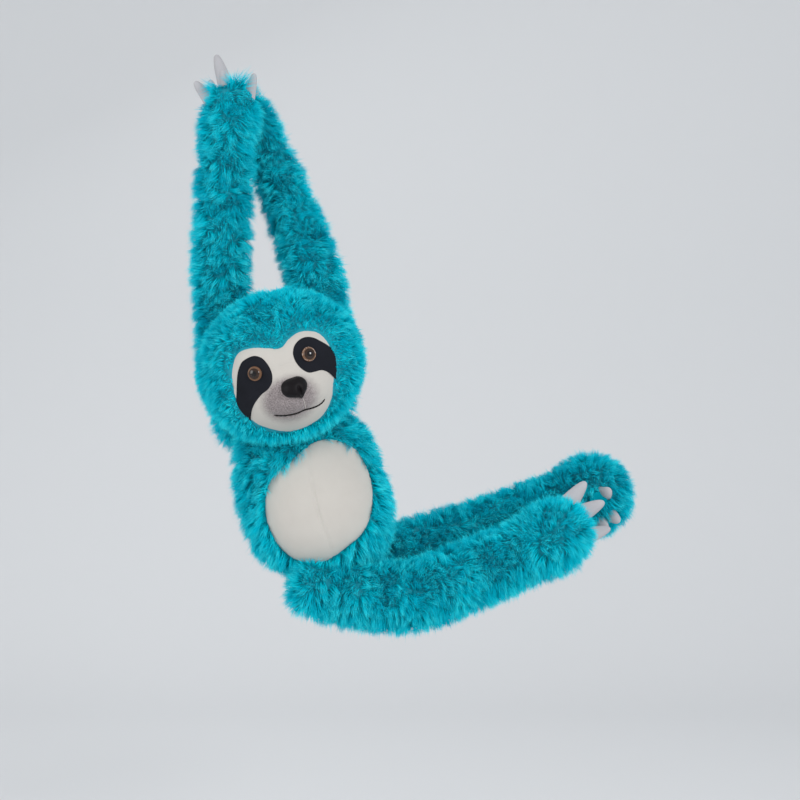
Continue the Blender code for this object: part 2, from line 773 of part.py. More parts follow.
def build_sleeve(name, body, start, vector, ball, next_ball, girth):
    """One straight stretch of a limb: its pile sleeve with a ball end, and its filling."""
    turn = facing(vector)
    length = vector.length
    socket = next_ball + SOCKET_GAP
    sizes = (length, ball, girth.waist, girth.swell, socket)
    outer = sleeve_points(*sizes, 0, BALL_HOLE_SHARE)
    inner = sleeve_points(*sizes, PILE, BALL_HOLE_SHARE)
    middle = girth.waist - PILE / 2
    rim = [(middle, socket_height(length, socket, middle))]
    section = outer + inner[::-1] + rim
    skin = put(
        f"{name}_skin", turned_mesh(f"{name}_skin", section, True), "pile_fabric", body, start, turn
    )
    add_turn(skin, SLEEVE_SIDES)
    dent = next_ball + STUFFING_RELIEF
    side = sleeve_points(length, ball, girth.waist, girth.swell, dent, PILE + STUFFING_EASE, 0)
    side[-1] = (0.0, side[-1][1])
    bend = side[0][0] / 2
    top = [(0.0, length - dent), (bend, socket_height(length, dent, bend))]
    filling = turned_mesh(f"{name}_stuffing", top + side, False)
    add_turn(put(f"{name}_stuffing", filling, "stuffing", body, start, turn), STUFFING_SIDES)


def flat_disc(name, radius, depth, sides):
    """A flat round, or a rod, about its own Z axis."""
    bm = bmesh.new()
    bmesh.ops.create_cone(bm, cap_ends=True, segments=sides, radius1=radius, radius2=radius, depth=depth)
    mesh = bpy.data.meshes.new(name)
    bm.to_mesh(mesh)
    bm.free()
    return mesh


def build_paw(limb, name, body, start, vector):
    """A paw: its pile sleeve and filling, flat in the palm, its tape pad and three claws."""
    turn = facing(vector)
    girth = limb.girth
    sizes = (limb.paw_length, vector.length, girth.end_ball, girth.waist, girth.paw)
    outer = paw_points(*sizes, 0, BALL_HOLE_SHARE)
    inner = paw_points(*sizes, PAW_WALL, BALL_HOLE_SHARE)
    section = turned_mesh(f"{name}_skin", outer + inner[::-1], False)
    skin = put(f"{name}_skin", section, "pile_fabric", body, start, turn)
    add_turn(skin, SLEEVE_SIDES)
    core = paw_points(*sizes, PAW_WALL + 2 * SEAM_GAP, BALL_HOLE_SHARE)
    core.append((0.0, core[-1][1]))
    filling = turned_mesh(f"{name}_stuffing", core, False)
    add_turn(put(f"{name}_stuffing", filling, "stuffing", body, start, turn), SLEEVE_SIDES)

    palm = limb.palm_side
    size = 4 * limb.paw_length
    block = bmesh.new()
    bmesh.ops.create_cube(block, size=size)
    box = bpy.data.meshes.new(f"{name}_palm_cutter")
    block.to_mesh(box)
    block.free()
    beyond = Vector((start.x, palm * (size - PALM_GAP) / 2, start.z))
    cut(skin, put_cutter(f"{name}_palm_cutter", box, beyond))
    rod = flat_disc(f"{name}_channel_cutter", ROPE_CHANNEL, size, 16)
    cut(skin, put_cutter(f"{name}_channel_cutter", rod, Vector((limb.rope_x, 0, start.z))))

    spot = (limb.pad_spot or start + vector).copy()
    spot.y = -palm * (PALM_GAP / 2 - SEAM_GAP - PAD_THICKNESS / 2)
    pad = flat_disc(f"{name}_pad", limb.pad_radius, PAD_THICKNESS, 20)
    put(f"{name}_pad", pad, "fastener_tape", body, spot, Matrix.Rotation(math.pi / 2, 3, "X"))

    grown = paw_points(*sizes, -SEAM_GAP, 0)
    grown[-1] = (0.0, grown[-1][1])
    seat_mesh = turned_mesh(f"{name}_claw_seat", grown, False)
    seat = put_cutter(f"{name}_claw_seat", seat_mesh, start, turn)
    add_turn(seat, SLEEVE_SIDES)
    ahead = vector.normalized()
    across = Vector((0, 1, 0)).cross(ahead)
    frame = Matrix((across, ahead, (0, palm, 0))).transposed()
    for number, (root_shares, tip_shares) in enumerate(limb.claw_shares, 1):
        root, tip = (
            start + vector + frame @ Vector(shares) * girth.paw for shares in (root_shares, tip_shares)
        )
        build_claw(f"{name}_claw_{number}", body, root, tip, limb.claw_base, seat)


def build_claw(name, body, root, tip, base, seat):
    """A stuffed claw that tapers to a blunt tip, sewn to its paw."""
    length = (tip - root).length
    points = [(0.0, length)]
    count = 4
    for i in range(1, count):
        angle = math.radians(90.0 * i / (count - 1))
        points.append((CLAW_TIP * math.sin(angle), length - CLAW_TIP * (1 - math.cos(angle))))
    for t in CLAW_RING_SHARES:
        radius = base + (CLAW_TIP - base) * t**CLAW_HOLLOW_POWER_SHARE
        points.append((radius, (length - CLAW_TIP) * t))
    points.append((0.0, 0.0))
    claw = put(name, turned_mesh(name, points, False), "claw_felt", body, root, facing(tip - root))
    add_turn(claw, 10)
    cut(claw, seat)


def limbs():
    """The four limbs with their sizes."""
    foot = torso_foot()
    found = []
    tape = Vector((HAND_PAD_X, 0, HAND_PAD_Z))
    arms = (
        ("right", RIGHT_SHOULDER_X, RIGHT_SHOULDER_RISE, (-9.6, 2.2, 8.0), RIGHT_HAND_CLAW_SHARES),
        ("left", LEFT_SHOULDER_X, LEFT_SHOULDER_RISE, (-10.0, -21.5, -36.0), LEFT_HAND_CLAW_SHARES),
    )
    for (side, x, rise, leans, shares), elbow, palm in zip(arms, ELBOW_DEPTHS, (1, -1)):
        root = foot + Vector((x, SHOULDER_Y, rise))
        lengths = (ARM_LENGTH * ELBOW_SHARE, ARM_LENGTH * (1 - ELBOW_SHARE), HAND_REACH)
        depths = (elbow, -palm * HAND_DEPTH)
        shape = (HAND_LENGTH, ARM_GIRTH, palm, HAND_PAD_RADIUS, tape, 0, HAND_CLAW_BASE, shares)
        found.append(Limb(side, ARM_PARTS, root, lengths, leans, depths, *shape))
    legs = (
        ("right", RIGHT_HIP_X, RIGHT_HIP_Y, RIGHT_HIP_RISE, (93.0, 70.0, 60.5), RIGHT_FOOT_CLAW_SHARES),
        ("left", LEFT_HIP_X, LEFT_HIP_Y, LEFT_HIP_RISE, (78.5, 73.0, 76.0), LEFT_FOOT_CLAW_SHARES),
    )
    for (side, x, y, rise, leans, shares), knee, palm in zip(legs, KNEE_DEPTHS, (1, -1)):
        root = foot + Vector((x, y, rise))
        lengths = (LEG_LENGTH * KNEE_SHARE, LEG_LENGTH * (1 - KNEE_SHARE), FOOT_REACH)
        depths = (knee, -palm * FOOT_DEPTH)
        shape = (FOOT_LENGTH, LEG_GIRTH, palm, FOOT_PAD_RADIUS, None, FOOT_ROPE_X, FOOT_CLAW_BASE, shares)
        found.append(Limb(side, LEG_PARTS, root, lengths, leans, depths, *shape))
    return found


def limb_places(limb):
    """The three joint centres of a limb and the vectors of its three parts."""
    places, vectors = [limb.root], []
    for length, lean, depth in zip(limb.lengths[:2], limb.leans, limb.depths):
        vectors.append(lean_vector(length, lean, depth - places[-1].y))
        places.append(places[-1] + vectors[-1])
    vectors.append(lean_vector(limb.lengths[2], limb.leans[2], 0))
    return places, vectors


def build_limb(limb, torso):
    """A limb's three bodies, each carried by the one before it."""
    places, vectors = limb_places(limb)
    girth = limb.girth
    balls = (girth.root_ball, girth.mid_ball, girth.end_ball)
    body = torso
    for order, part in enumerate(limb.parts):
        name = f"{part}_{limb.side}"
        body = joint_empty(f"{name}_body", places[order], body)
        if order < 2:
            ends = balls[order], balls[order + 1]
            build_sleeve(name, body, places[order], vectors[order], *ends, girth)
        else:
            build_paw(limb, name, body, places[order], vectors[order])


def build():
    """The whole toy."""
    found = limbs()
    torso = build_torso(found)
    build_head(torso)
    for limb in found:
        build_limb(limb, torso)


build()
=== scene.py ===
"""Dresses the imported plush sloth: long teal pile, velour face and belly, eyes, nose and claws.

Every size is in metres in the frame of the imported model: the origin lies between the hands'
palms, the face looks along -Y, +Z is up. Left and right are the toy's own.
"""

import json
import logging
import math
from dataclasses import dataclass
from enum import Enum
from typing import Callable, Sequence

import bmesh
import bpy
import numpy as np
from mathutils import Matrix, Vector, noise
from mathutils.bvhtree import BVHTree
from mathutils.kdtree import KDTree

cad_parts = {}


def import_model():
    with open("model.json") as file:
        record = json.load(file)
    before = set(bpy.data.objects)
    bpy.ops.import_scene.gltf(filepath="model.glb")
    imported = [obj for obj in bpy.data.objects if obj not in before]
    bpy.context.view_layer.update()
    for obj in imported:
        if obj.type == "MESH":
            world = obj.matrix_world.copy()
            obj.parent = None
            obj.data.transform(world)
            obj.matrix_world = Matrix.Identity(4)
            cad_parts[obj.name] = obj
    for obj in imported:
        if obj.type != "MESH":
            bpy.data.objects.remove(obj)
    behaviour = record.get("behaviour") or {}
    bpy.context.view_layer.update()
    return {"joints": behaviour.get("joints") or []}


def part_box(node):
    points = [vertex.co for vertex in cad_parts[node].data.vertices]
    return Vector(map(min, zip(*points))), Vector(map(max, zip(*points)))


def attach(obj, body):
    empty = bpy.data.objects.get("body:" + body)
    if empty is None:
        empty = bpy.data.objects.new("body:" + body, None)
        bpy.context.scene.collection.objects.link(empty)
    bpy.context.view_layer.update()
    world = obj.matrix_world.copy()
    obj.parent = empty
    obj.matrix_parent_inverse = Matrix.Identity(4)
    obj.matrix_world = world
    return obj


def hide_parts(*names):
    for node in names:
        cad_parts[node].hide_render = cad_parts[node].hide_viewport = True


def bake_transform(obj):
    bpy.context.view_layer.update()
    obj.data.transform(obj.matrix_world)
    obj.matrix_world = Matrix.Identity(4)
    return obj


LOG = logging.getLogger("sloth")
DOWN = np.array((0.0, 0.0, -1.0))


class Side(Enum):
    """A side of the toy, with the way its palm faces along Y."""

    RIGHT = ("right", 1.0)
    LEFT = ("left", -1.0)

    @property
    def label(self) -> str:
        """The side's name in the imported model.

        Returns:
            "right" or "left".
        """
        return self.value[0]

    @property
    def palm(self) -> float:
        """The way the palm or the sole of this side faces.

        Returns:
            1 for +Y and -1 for -Y.
        """
        return self.value[1]


# Meshes


def mesh_object(
    name: str,
    points: np.ndarray | Sequence,
    faces: Sequence[Sequence[int]],
    materials: Sequence[bpy.types.Material],
    smooth: bool = True,
) -> bpy.types.Object:
    """Makes a mesh object in the scene.

    Args:
        name: Name of the piece.
        points: Its points.
        faces: Its faces, as indices into the points.
        materials: Its materials, the first of which covers it.
        smooth: Whether it is shaded smooth.

    Returns:
        The new object.
    """
    mesh = bpy.data.meshes.new(name)
    mesh.from_pydata([tuple(map(float, p)) for p in points], [], [tuple(f) for f in faces])
    mesh.update()
    for material in materials:
        mesh.materials.append(material)
    if smooth:
        mesh.shade_smooth()
    piece = bpy.data.objects.new(name, mesh)
    bpy.context.scene.collection.objects.link(piece)
    return piece


def dome(
    outline: np.ndarray,
    centre: np.ndarray,
    rings: int,
    front: Callable[[np.ndarray, np.ndarray], np.ndarray],
    back: Callable[[np.ndarray, np.ndarray], np.ndarray],
) -> tuple[np.ndarray, list[tuple[int, ...]]]:
    """A closed body over a flat outline, with a front and a back.

    Args:
        outline: Points of the outline, across and up.
        centre: The point that its rings close on.
        rings: How many rings the front and the back have.
        front: Gives the front's points from flat places and their shares of the way out.
        back: Gives the back's points in the same way.

    Returns:
        Its points and faces.
    """
    count = len(outline)
    shares = np.concatenate(([0.0], np.sin(np.linspace(0, math.pi / 2, rings + 1))[1:]))
    layers = []
    for side in (front, back):
        flat = [centre[None]]
        way = [np.zeros(1)]
        for share in shares[1:]:
            flat.append(centre + (outline - centre) * share)
            way.append(np.full(count, share))
        layers.append(side(np.concatenate(flat), np.concatenate(way)))
    size = len(layers[0])
    faces: list[tuple[int, ...]] = []
    for start, turned in ((0, False), (size, True)):
        for i in range(count):
            j = (i + 1) % count
            found = [(start, start + 1 + i, start + 1 + j)]
            for ring in range(rings - 1):
                a, b = start + 1 + ring * count + i, start + 1 + ring * count + j
                found.append((a, a + count, b + count, b))
            faces += [face[::-1] for face in found] if turned else found
    rim = 1 + (rings - 1) * count
    for i in range(count):
        j = (i + 1) % count
        faces.append((rim + j, rim + i, size + rim + i, size + rim + j))
    return np.concatenate(layers), faces


def bands(sides: int, rings: int) -> list[tuple[int, ...]]:
    """The quads between rings of points.

    Args:
        sides: Points in a ring.
        rings: How many rings.

    Returns:
        The faces, band after band.
    """
    faces = []
    for ring in range(rings - 1):
        for i in range(sides):
            a, b = ring * sides + i, ring * sides + (i + 1) % sides
            faces.append((a, b, b + sides, a + sides))
    return faces


def tube(sides: int, rings: int) -> list[tuple[int, ...]]:
    """The quads between rings of points, with a face over the first and the last ring.

    Args:
        sides: Points in a ring.
        rings: How many rings.

    Returns:
        The faces of the closed tube.
    """
    first, last = range(sides), range((rings - 1) * sides, rings * sides)
    return [*bands(sides, rings), tuple(first)[::-1], tuple(last)]


def settle(
    piece: bpy.types.Object, body: str, replaced: Sequence[str] = ()
) -> None:
    """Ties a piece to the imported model.

    Args:
        piece: The piece.
        body: The body that it rides on.
        replaced: The nodes that it stands for.
    """
    if replaced:
        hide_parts(*replaced)
    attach(piece, body)
    LOG.info("%s: %d faces", piece.name, len(piece.data.polygons))


def face_out(piece: bpy.types.Object) -> bpy.types.Object:
    """Turns all faces of a closed piece outwards.

    Args:
        piece: The piece.

    Returns:
        The same piece.
    """
    bm = bmesh.new()
    bm.from_mesh(piece.data)
    bmesh.ops.recalc_face_normals(bm, faces=bm.faces)
    bm.to_mesh(piece.data)
    bm.free()
    return piece


def unit(vectors: np.ndarray) -> np.ndarray:
    """Scales vectors to length 1.

    Args:
        vectors: Rows of vectors.

    Returns:
        The same rows, each of length 1.
    """
    return vectors / np.maximum(np.linalg.norm(vectors, axis=-1, keepdims=True), 1e-12)


def smoothstep(low: float, high: float, x: np.ndarray | float) -> np.ndarray | float:
    """A smooth step between two values.

    Args:
        low: Where it begins.
        high: Where it ends.
        x: Where it is read.

    Returns:
        Shares from 0 to 1.
    """
    t = np.clip((x - low) / (high - low), 0.0, 1.0)
    return t * t * (3 - 2 * t)


# Finishes

CREAM = (0.555, 0.528, 0.488)
CREAM_SHADE = (0.510, 0.482, 0.443)


class Graph:
    """A short way to write a material's nodes."""

    def __init__(self, name: str, roughness: float, **sockets: float | tuple) -> None:
        """Starts a material on its Principled shader.

        Args:
            name: Name of the material.
            roughness: Its roughness.
            **sockets: Further constants of the shader, with _ for spaces in their names.
        """
        self.material = bpy.data.materials.new(name)
        self.material.use_nodes = True
        self.nodes = self.material.node_tree.nodes
        self.links = self.material.node_tree.links
        self.shader = self.nodes["Principled BSDF"]
        self.shader.inputs["Roughness"].default_value = roughness
        for key, value in sockets.items():
            self.shader.inputs[key.replace("_", " ")].default_value = value

    def add(self, kind: str, **values: object) -> bpy.types.Node:
        """Adds a node.

        Args:
            kind: Its type, without the ShaderNode prefix.
            **values: Attributes of the node, or values of its inputs.

        Returns:
            The node.
        """
        node = self.nodes.new("ShaderNode" + kind)
        for key, value in values.items():
            if hasattr(node, key):
                setattr(node, key, value)
            else:
                node.inputs[key.replace("_", " ")].default_value = value
        return node

    def link(self, out: bpy.types.NodeSocket, into: bpy.types.NodeSocket) -> None:
        """Joins two sockets.

        Args:
            out: The socket that gives.
            into: The socket that takes.
        """
        self.links.new(out, into)

    def ramp(self, source: bpy.types.NodeSocket, stops: Sequence[tuple]) -> bpy.types.NodeSocket:
        """Adds a colour ramp.

        Args:
            source: What the ramp reads.
            stops: Places and colours.

        Returns:
            The ramp's colour.
        """
        node = self.add("ValToRGB")
        band = node.color_ramp
        while len(band.elements) < len(stops):
            band.elements.new(0.5)
        for element, (place, colour) in zip(band.elements, stops):
            element.position = place
            element.color = (*colour, 1.0)
        self.link(source, node.inputs["Fac"])
        return node.outputs["Color"]

    def mix(
        self, share: bpy.types.NodeSocket | float, first: object, second: object, how: str = "MIX"
    ) -> bpy.types.NodeSocket:
        """Mixes two colours.

        Args:
            share: The share of the second.
            first: A socket or a colour.
            second: A socket or a colour.
            how: The blend type.

        Returns:
            The mixed colour.
        """
        node = self.add("Mix", data_type="RGBA", blend_type=how)
        for socket, value in ((0, share), (6, first), (7, second)):
            if isinstance(value, bpy.types.NodeSocket):
                self.link(value, node.inputs[socket])
            elif socket == 0:
                node.inputs[0].default_value = value
            else:
                node.inputs[socket].default_value = (*value, 1.0)
        return node.outputs[2]

    def bump(self, height: bpy.types.NodeSocket, strength: float, distance: float) -> None:
        """Adds a bump to the shader.

        Args:
            height: What gives the relief.
            strength: Its strength.
            distance: Its depth in metres.
        """
        node = self.add("Bump", Strength=strength, Distance=distance)
        self.link(height, node.inputs["Height"])
        self.link(node.outputs["Normal"], self.shader.inputs["Normal"])

    def noise(self, scale: float, detail: float = 3.0) -> bpy.types.NodeSocket:
        """Adds a noise in object space.

        Args:
            scale: Its frequency per metre.
            detail: Its octaves.

        Returns:
            The noise's value.
        """
        node = self.add("TexNoise", Scale=scale, Detail=detail)
        self.link(self.add("TexCoord").outputs["Object"], node.inputs["Vector"])
        return node.outputs["Fac"]


@dataclass(frozen=True)
class FurFinish:
    """The pile's colours, from the backing cloth to the tips. The dark root colour is painted shade
    deep in the pile. The pale tips are partly the strands' own tone and partly painted highlight.
    """

    # root is painted shade deep in the pile; pale is the tips' light tone with painted highlight.
    root: tuple = (0.000, 0.240, 0.315)
    middle: tuple = (0.000, 0.580, 0.730)
    tip: tuple = (0.000, 0.760, 0.890)
    pale: tuple = (0.080, 0.910, 0.960)

    def strands(self) -> bpy.types.Material:
        """The finish of the pile itself, which reads its map: tone across, root to tip along. The
        dark root is painted shade deep in the pile, and the pale tips are partly painted highlight.

        Returns:
            The material.
        """
        graph = Graph("fur_strands", 0.60)
        graph.shader.inputs["Specular IOR Level"].default_value = 0.0
        split = graph.add("SeparateXYZ")
        graph.link(graph.add("UVMap", uv_map="OFBake").outputs["UV"], split.inputs["Vector"])
        along = split.outputs["Y"]
        # Both ramps darken toward the root as painted shade. The light one ends pale at the tips,
        # partly as painted highlight.
        dark = graph.ramp(along, ((0.0, self.root), (0.45, self.middle), (1.0, self.middle)))
        light = graph.ramp(along, ((0.0, self.root), (0.5, self.tip), (1.0, self.pale)))
        colour = graph.mix(split.outputs["X"], dark, light)
        graph.link(colour, graph.shader.inputs["Base Color"])
        return graph.material

    def backing(self) -> bpy.types.Material:
        """The finish of the dense underfur, painted a dark teal as shade deep in the pile.

        Returns:
            The material.
        """
        graph = Graph("fur_backing", 0.9)
        value = graph.noise(420.0)
        # The backing's dark teal, from the root colour to half the middle's, is painted shade deep
        # in the pile.
        colour = graph.mix(value, self.root, tuple(0.55 * c for c in self.middle))
        graph.link(colour, graph.shader.inputs["Base Color"])
        graph.bump(value, 0.6, 0.002)
        return graph.material


@dataclass(frozen=True)
class ClothFinish:
    """A short-piled or plain cloth: its colour, its mottle and its weave."""

    name: str
    colour: tuple
    shade: tuple
    roughness: float = 0.9
    sheen: float = 0.35
    weave: float = 2600.0
    relief: float = 0.25
    gloss: float = 0.2

    def material(self) -> bpy.types.Material:
        """Makes the cloth.

        Returns:
            The material.
        """
        graph = Graph(self.name, self.roughness, Sheen_Weight=self.sheen, Sheen_Roughness=0.45)
        graph.shader.inputs["Specular IOR Level"].default_value = self.gloss
        mottle = graph.noise(55.0, 4.0)
        graph.link(graph.mix(mottle, self.colour, self.shade), graph.shader.inputs["Base Color"])
        graph.bump(graph.noise(self.weave, 2.0), self.relief, 0.0004)
        return graph.material


@dataclass(frozen=True)
class MuzzleFinish:
    """Brushed cloth, sprayed grey about the nose with a soft edge."""

    cloth: tuple = CREAM
    cloth_shade: tuple = CREAM_SHADE
    spray: tuple = (0.185, 0.158, 0.158)
    spray_shade: tuple = (0.345, 0.305, 0.305)

    def material(
        self, place: Vector, turn: Matrix, half: tuple[float, float]
    ) -> bpy.types.Material:
        """Makes the cloth with its sprayed oval.

        Args:
            place: The oval's middle.
            turn: The tilt of the face.
            half: The oval's half width and half height.

        Returns:
            The material.
        """
        graph = Graph("muzzle_cloth_sprayed", 0.9, Sheen_Weight=0.10, Sheen_Roughness=0.45)
        graph.shader.inputs["Specular IOR Level"].default_value = 0.2
        coords = graph.add("TexCoord").outputs["Object"]
        placed = graph.add("Mapping", vector_type="TEXTURE")
        placed.inputs["Location"].default_value = place
        placed.inputs["Rotation"].default_value = turn.to_euler()
        placed.inputs["Scale"].default_value = (half[0], 1.0, half[1])
        graph.link(coords, placed.inputs["Vector"])
        flat = graph.add("VectorMath", operation="MULTIPLY")
        flat.inputs[1].default_value = (1.0, 0.0, 1.0)
        graph.link(placed.outputs["Vector"], flat.inputs[0])
        far = graph.add("VectorMath", operation="LENGTH")
        graph.link(flat.outputs["Vector"], far.inputs[0])
        rough = graph.add("Math", operation="MULTIPLY_ADD")
        graph.link(graph.noise(240.0), rough.inputs[0])
        rough.inputs[1].default_value = 0.16
        graph.link(far.outputs["Value"], rough.inputs[2])
        share = graph.add("MapRange", interpolation_type="SMOOTHSTEP")
        graph.link(rough.outputs["Value"], share.inputs["Value"])
        share.inputs["From Min"].default_value = 0.74
        share.inputs["From Max"].default_value = 1.22
        specks = graph.add("MapRange")
        graph.link(graph.noise(760.0, 2.0), specks.inputs["Value"])
        specks.inputs["From Min"].default_value = 0.36
        specks.inputs["From Max"].default_value = 0.66
        grey = graph.mix(specks.outputs["Result"], self.spray, self.spray_shade)
        plain = graph.mix(graph.noise(420.0, 4.0), self.cloth, self.cloth_shade)
        colour = graph.mix(share.outputs["Result"], grey, plain)
        graph.link(colour, graph.shader.inputs["Base Color"])
        graph.bump(graph.noise(2600.0, 2.0), 0.25, 0.0004)
        return graph.material


@dataclass(frozen=True)
class EyeFinish:
    """A clear-coated dome: black pupil, dark brown iris and an amber rim."""

    pupil: tuple = (0.004, 0.003, 0.003)
    iris: tuple = (0.026, 0.013, 0.008)
    amber: tuple = (0.190, 0.098, 0.052)
    shade: tuple = (0.050, 0.024, 0.014)

    def material(self, place: Vector, radius: float, label: str) -> bpy.types.Material:
        """Makes the eye's plastic, coloured by the distance from its middle.

        Args:
            place: The eye's middle.
            radius: Its radius.
            label: Which eye it is.

        Returns:
            The material.
        """
        graph = Graph(f"eye_plastic_{label}", 0.12, Coat_Weight=0.8, Coat_Roughness=0.03)
        graph.shader.inputs["Specular IOR Level"].default_value = 0.0
        coords = graph.add("TexCoord").outputs["Object"]
        gap = graph.add("VectorMath", operation="DISTANCE")
        gap.inputs[1].default_value = place
        graph.link(coords, gap.inputs[0])
        share = graph.add("Math", operation="DIVIDE")
        graph.link(gap.outputs["Value"], share.inputs[0])
        share.inputs[1].default_value = radius
        colour = graph.ramp(
            share.outputs["Value"],
            (
                (0.0, self.pupil),
                (0.58, self.pupil),
                (0.66, self.iris),
                (0.78, self.iris),
                (0.85, self.amber),
                (0.94, self.amber),
                (1.00, self.shade),
            ),
        )
        graph.link(colour, graph.shader.inputs["Base Color"])
        return graph.material


# Pile


@dataclass
class Coat:
    """A backing surface with what its pile needs at each of its points."""

    points: np.ndarray
    faces: list[tuple[int, ...]]
    flow: np.ndarray
    growth: np.ndarray
    clear: Callable[[np.ndarray], np.ndarray] | None = None

    def triangles(self) -> np.ndarray:
        """The surface as triangles.

        Returns:
            Rows of three indices.
        """
        found = []
        for face in self.faces:
            found += [(face[0], face[i], face[i + 1]) for i in range(1, len(face) - 1)]
        return np.array(found, int)

    def normals(self) -> np.ndarray:
        """The smooth normals of its points.

        Returns:
            Rows of unit vectors.
        """
        tris = self.triangles()
        a, b, c = (self.points[tris[:, i]] for i in range(3))
        flat = np.cross(b - a, c - a)
        found = np.zeros_like(self.points)
        for i in range(3):
            np.add.at(found, tris[:, i], flat)
        return unit(found)


@dataclass(frozen=True)
class Pile:
    """How the pile of one coat grows.

    Lengths are in metres and the density is in strands per square metre. Tufts gather the strands
    about them, wild strands stay out of their tuft, and the pairs are the ends of even ranges.
    """

    density: float = 760000.0
    length: float = 0.0160
    width: float = 0.00052
    lift: float = 0.92
    flow: float = 0.36
    droop: float = 0.18
    clump: float = 0.0068
    tight: float = 0.58
    stray: float = 0.24
    wild: float = 0.10
    least: float = 0.12
    most: int = 38000
    swirl_scale: float = 42.0
    swirl: float = 0.80
    tuft_stray: float = 0.30
    tuft_length: tuple = (0.78, 1.18)
    tuft_hold: tuple = (0.2, 0.92)
    tone_scale: float = 60.0
    tone_depth: float = 0.9
    tuft_tone: float = 0.14
    strand_tone: float = 0.22
    strand_length: tuple = (0.62, 1.16)
    strand_droop: tuple = (0.6, 1.3)
    strand_pull: tuple = (0.55, 1.0)
    strand_width: tuple = (0.75, 1.25)
    wild_length: float = 1.18
    wild_pull: float = 0.15
    facing: float = 0.7
    twist: float = 0.55
    levels: tuple = (0.0, 0.36, 0.72, 1.0)
    taper: tuple = (1.0, 0.86, 0.52)

    def scatter(self, coat: Coat, count: int, rng: np.random.Generator) -> dict[str, np.ndarray]:
        """Spreads points evenly over a coat.

        Args:
            coat: The coat.
            count: How many points.
            rng: The random numbers.

        Returns:
            Their places, normals, flow and growth.
        """
        tris, normals = coat.triangles(), coat.normals()
        a, b, c = (coat.points[tris[:, i]] for i in range(3))
        areas = np.linalg.norm(np.cross(b - a, c - a), axis=1) / 2
        areas = areas * (coat.growth[tris].max(axis=1) > 0)
        ends = np.cumsum(areas)
        picks = (np.arange(count) + rng.random(count)) / count * ends[-1]
        chosen = tris[np.minimum(np.searchsorted(ends, picks), len(tris) - 1)]
        u, v = rng.random((2, count))
        over = u + v > 1
        u[over], v[over] = 1 - u[over], 1 - v[over]
        shares = np.stack((1 - u - v, u, v), axis=1)[:, :, None]
        found = {
            "place": (coat.points[chosen] * shares).sum(axis=1),
            "normal": unit((normals[chosen] * shares).sum(axis=1)),
            "flow": (coat.flow[chosen] * shares).sum(axis=1),
            "growth": (coat.growth[chosen] * shares[:, :, 0]).sum(axis=1),
        }
        if coat.clear is not None:
            found["growth"] *= coat.clear(found["place"])
        kept = found["growth"] > self.least
        return {key: value[kept] for key, value in found.items()}

    def grown_area(self, coat: Coat) -> float:
        """The area of a coat that carries pile.

        Args:
            coat: The coat.

        Returns:
            The area in square metres.
        """
        tris = coat.triangles()
        a, b, c = (coat.points[tris[:, i]] for i in range(3))
        areas = np.linalg.norm(np.cross(b - a, c - a), axis=1) / 2
        return float((areas * (coat.growth[tris].max(axis=1) > 0)).sum())

    def leaning(self, spots: dict[str, np.ndarray], swirl: np.ndarray) -> np.ndarray:
        """The way the pile leaves the cloth.

        Args:
            spots: Places with their normals and flow.
            swirl: What each adds to its own lean.

        Returns:
            Rows of unit vectors.
        """
        return unit(spots["normal"] * self.lift + spots["flow"] * self.flow + swirl)

    def grow(
        self, name: str, coat: Coat, material: bpy.types.Material, seed: int
    ) -> list[bpy.types.Object]:
        """Grows the pile of one coat as meshes of tapering strands.

        Args:
            name: Name of the pile, which its meshes are numbered from.
            coat: The coat that it grows on.
            material: The pile's finish.
            seed: Seed of its random numbers.

        Returns:
            The pieces, none of them with more strands than the most that one may have.
        """
        rng = np.random.default_rng(seed)
        noise.seed_set(seed)
        area = self.grown_area(coat)
        tufts = self.scatter(coat, max(int(area / self.clump**2), 8), rng)
        count = len(tufts["place"])
        swirl = np.array(
            [noise.noise_vector(Vector(p) * self.swirl_scale) for p in tufts["place"]]
        )
        swirl = swirl * self.swirl + rng.normal(0, self.tuft_stray, (count, 3))
        lean = self.leaning(tufts, swirl)
        size = self.length * tufts["growth"] * rng.uniform(*self.tuft_length, count)
        tone = np.array([noise.noise(Vector(p) * self.tone_scale) for p in tufts["place"]])
        tone = 0.5 + self.tone_depth * tone
        tone = np.clip(tone + rng.normal(0, self.tuft_tone, count), 0, 1)
        hold = np.clip(self.tight + rng.normal(0, 0.12, count), *self.tuft_hold)
        tips = tufts["place"] + size[:, None] * (lean + self.droop * DOWN)

        tree = KDTree(count)
        for i, place in enumerate(tufts["place"]):
            tree.insert(place, i)
        tree.balance()
        hairs = self.scatter(coat, int(area * self.density), rng)
        total = len(hairs["place"])
        asked = hairs["place"] + rng.normal(0, self.clump * 0.16, (total, 3))
        owner = np.array([tree.find(p)[1] for p in asked], int)
        own = self.leaning(hairs, swirl[owner] + rng.normal(0, self.stray, (total, 3)))
        length = self.length * hairs["growth"] * rng.uniform(*self.strand_length, total)
        droop = self.droop * rng.uniform(*self.strand_droop, total)
        bend = length[:, None] * droop[:, None] * DOWN
        loose = rng.random(total) < self.wild
        length = np.where(loose, length * self.wild_length, length)
        tip = hairs["place"] + length[:, None] * own + bend
        pull = hold[owner] * rng.uniform(*self.strand_pull, total)
        pull = pull * np.where(loose, self.wild_pull, 1.0)
        gather = (tips[owner] - tip) * pull[:, None]

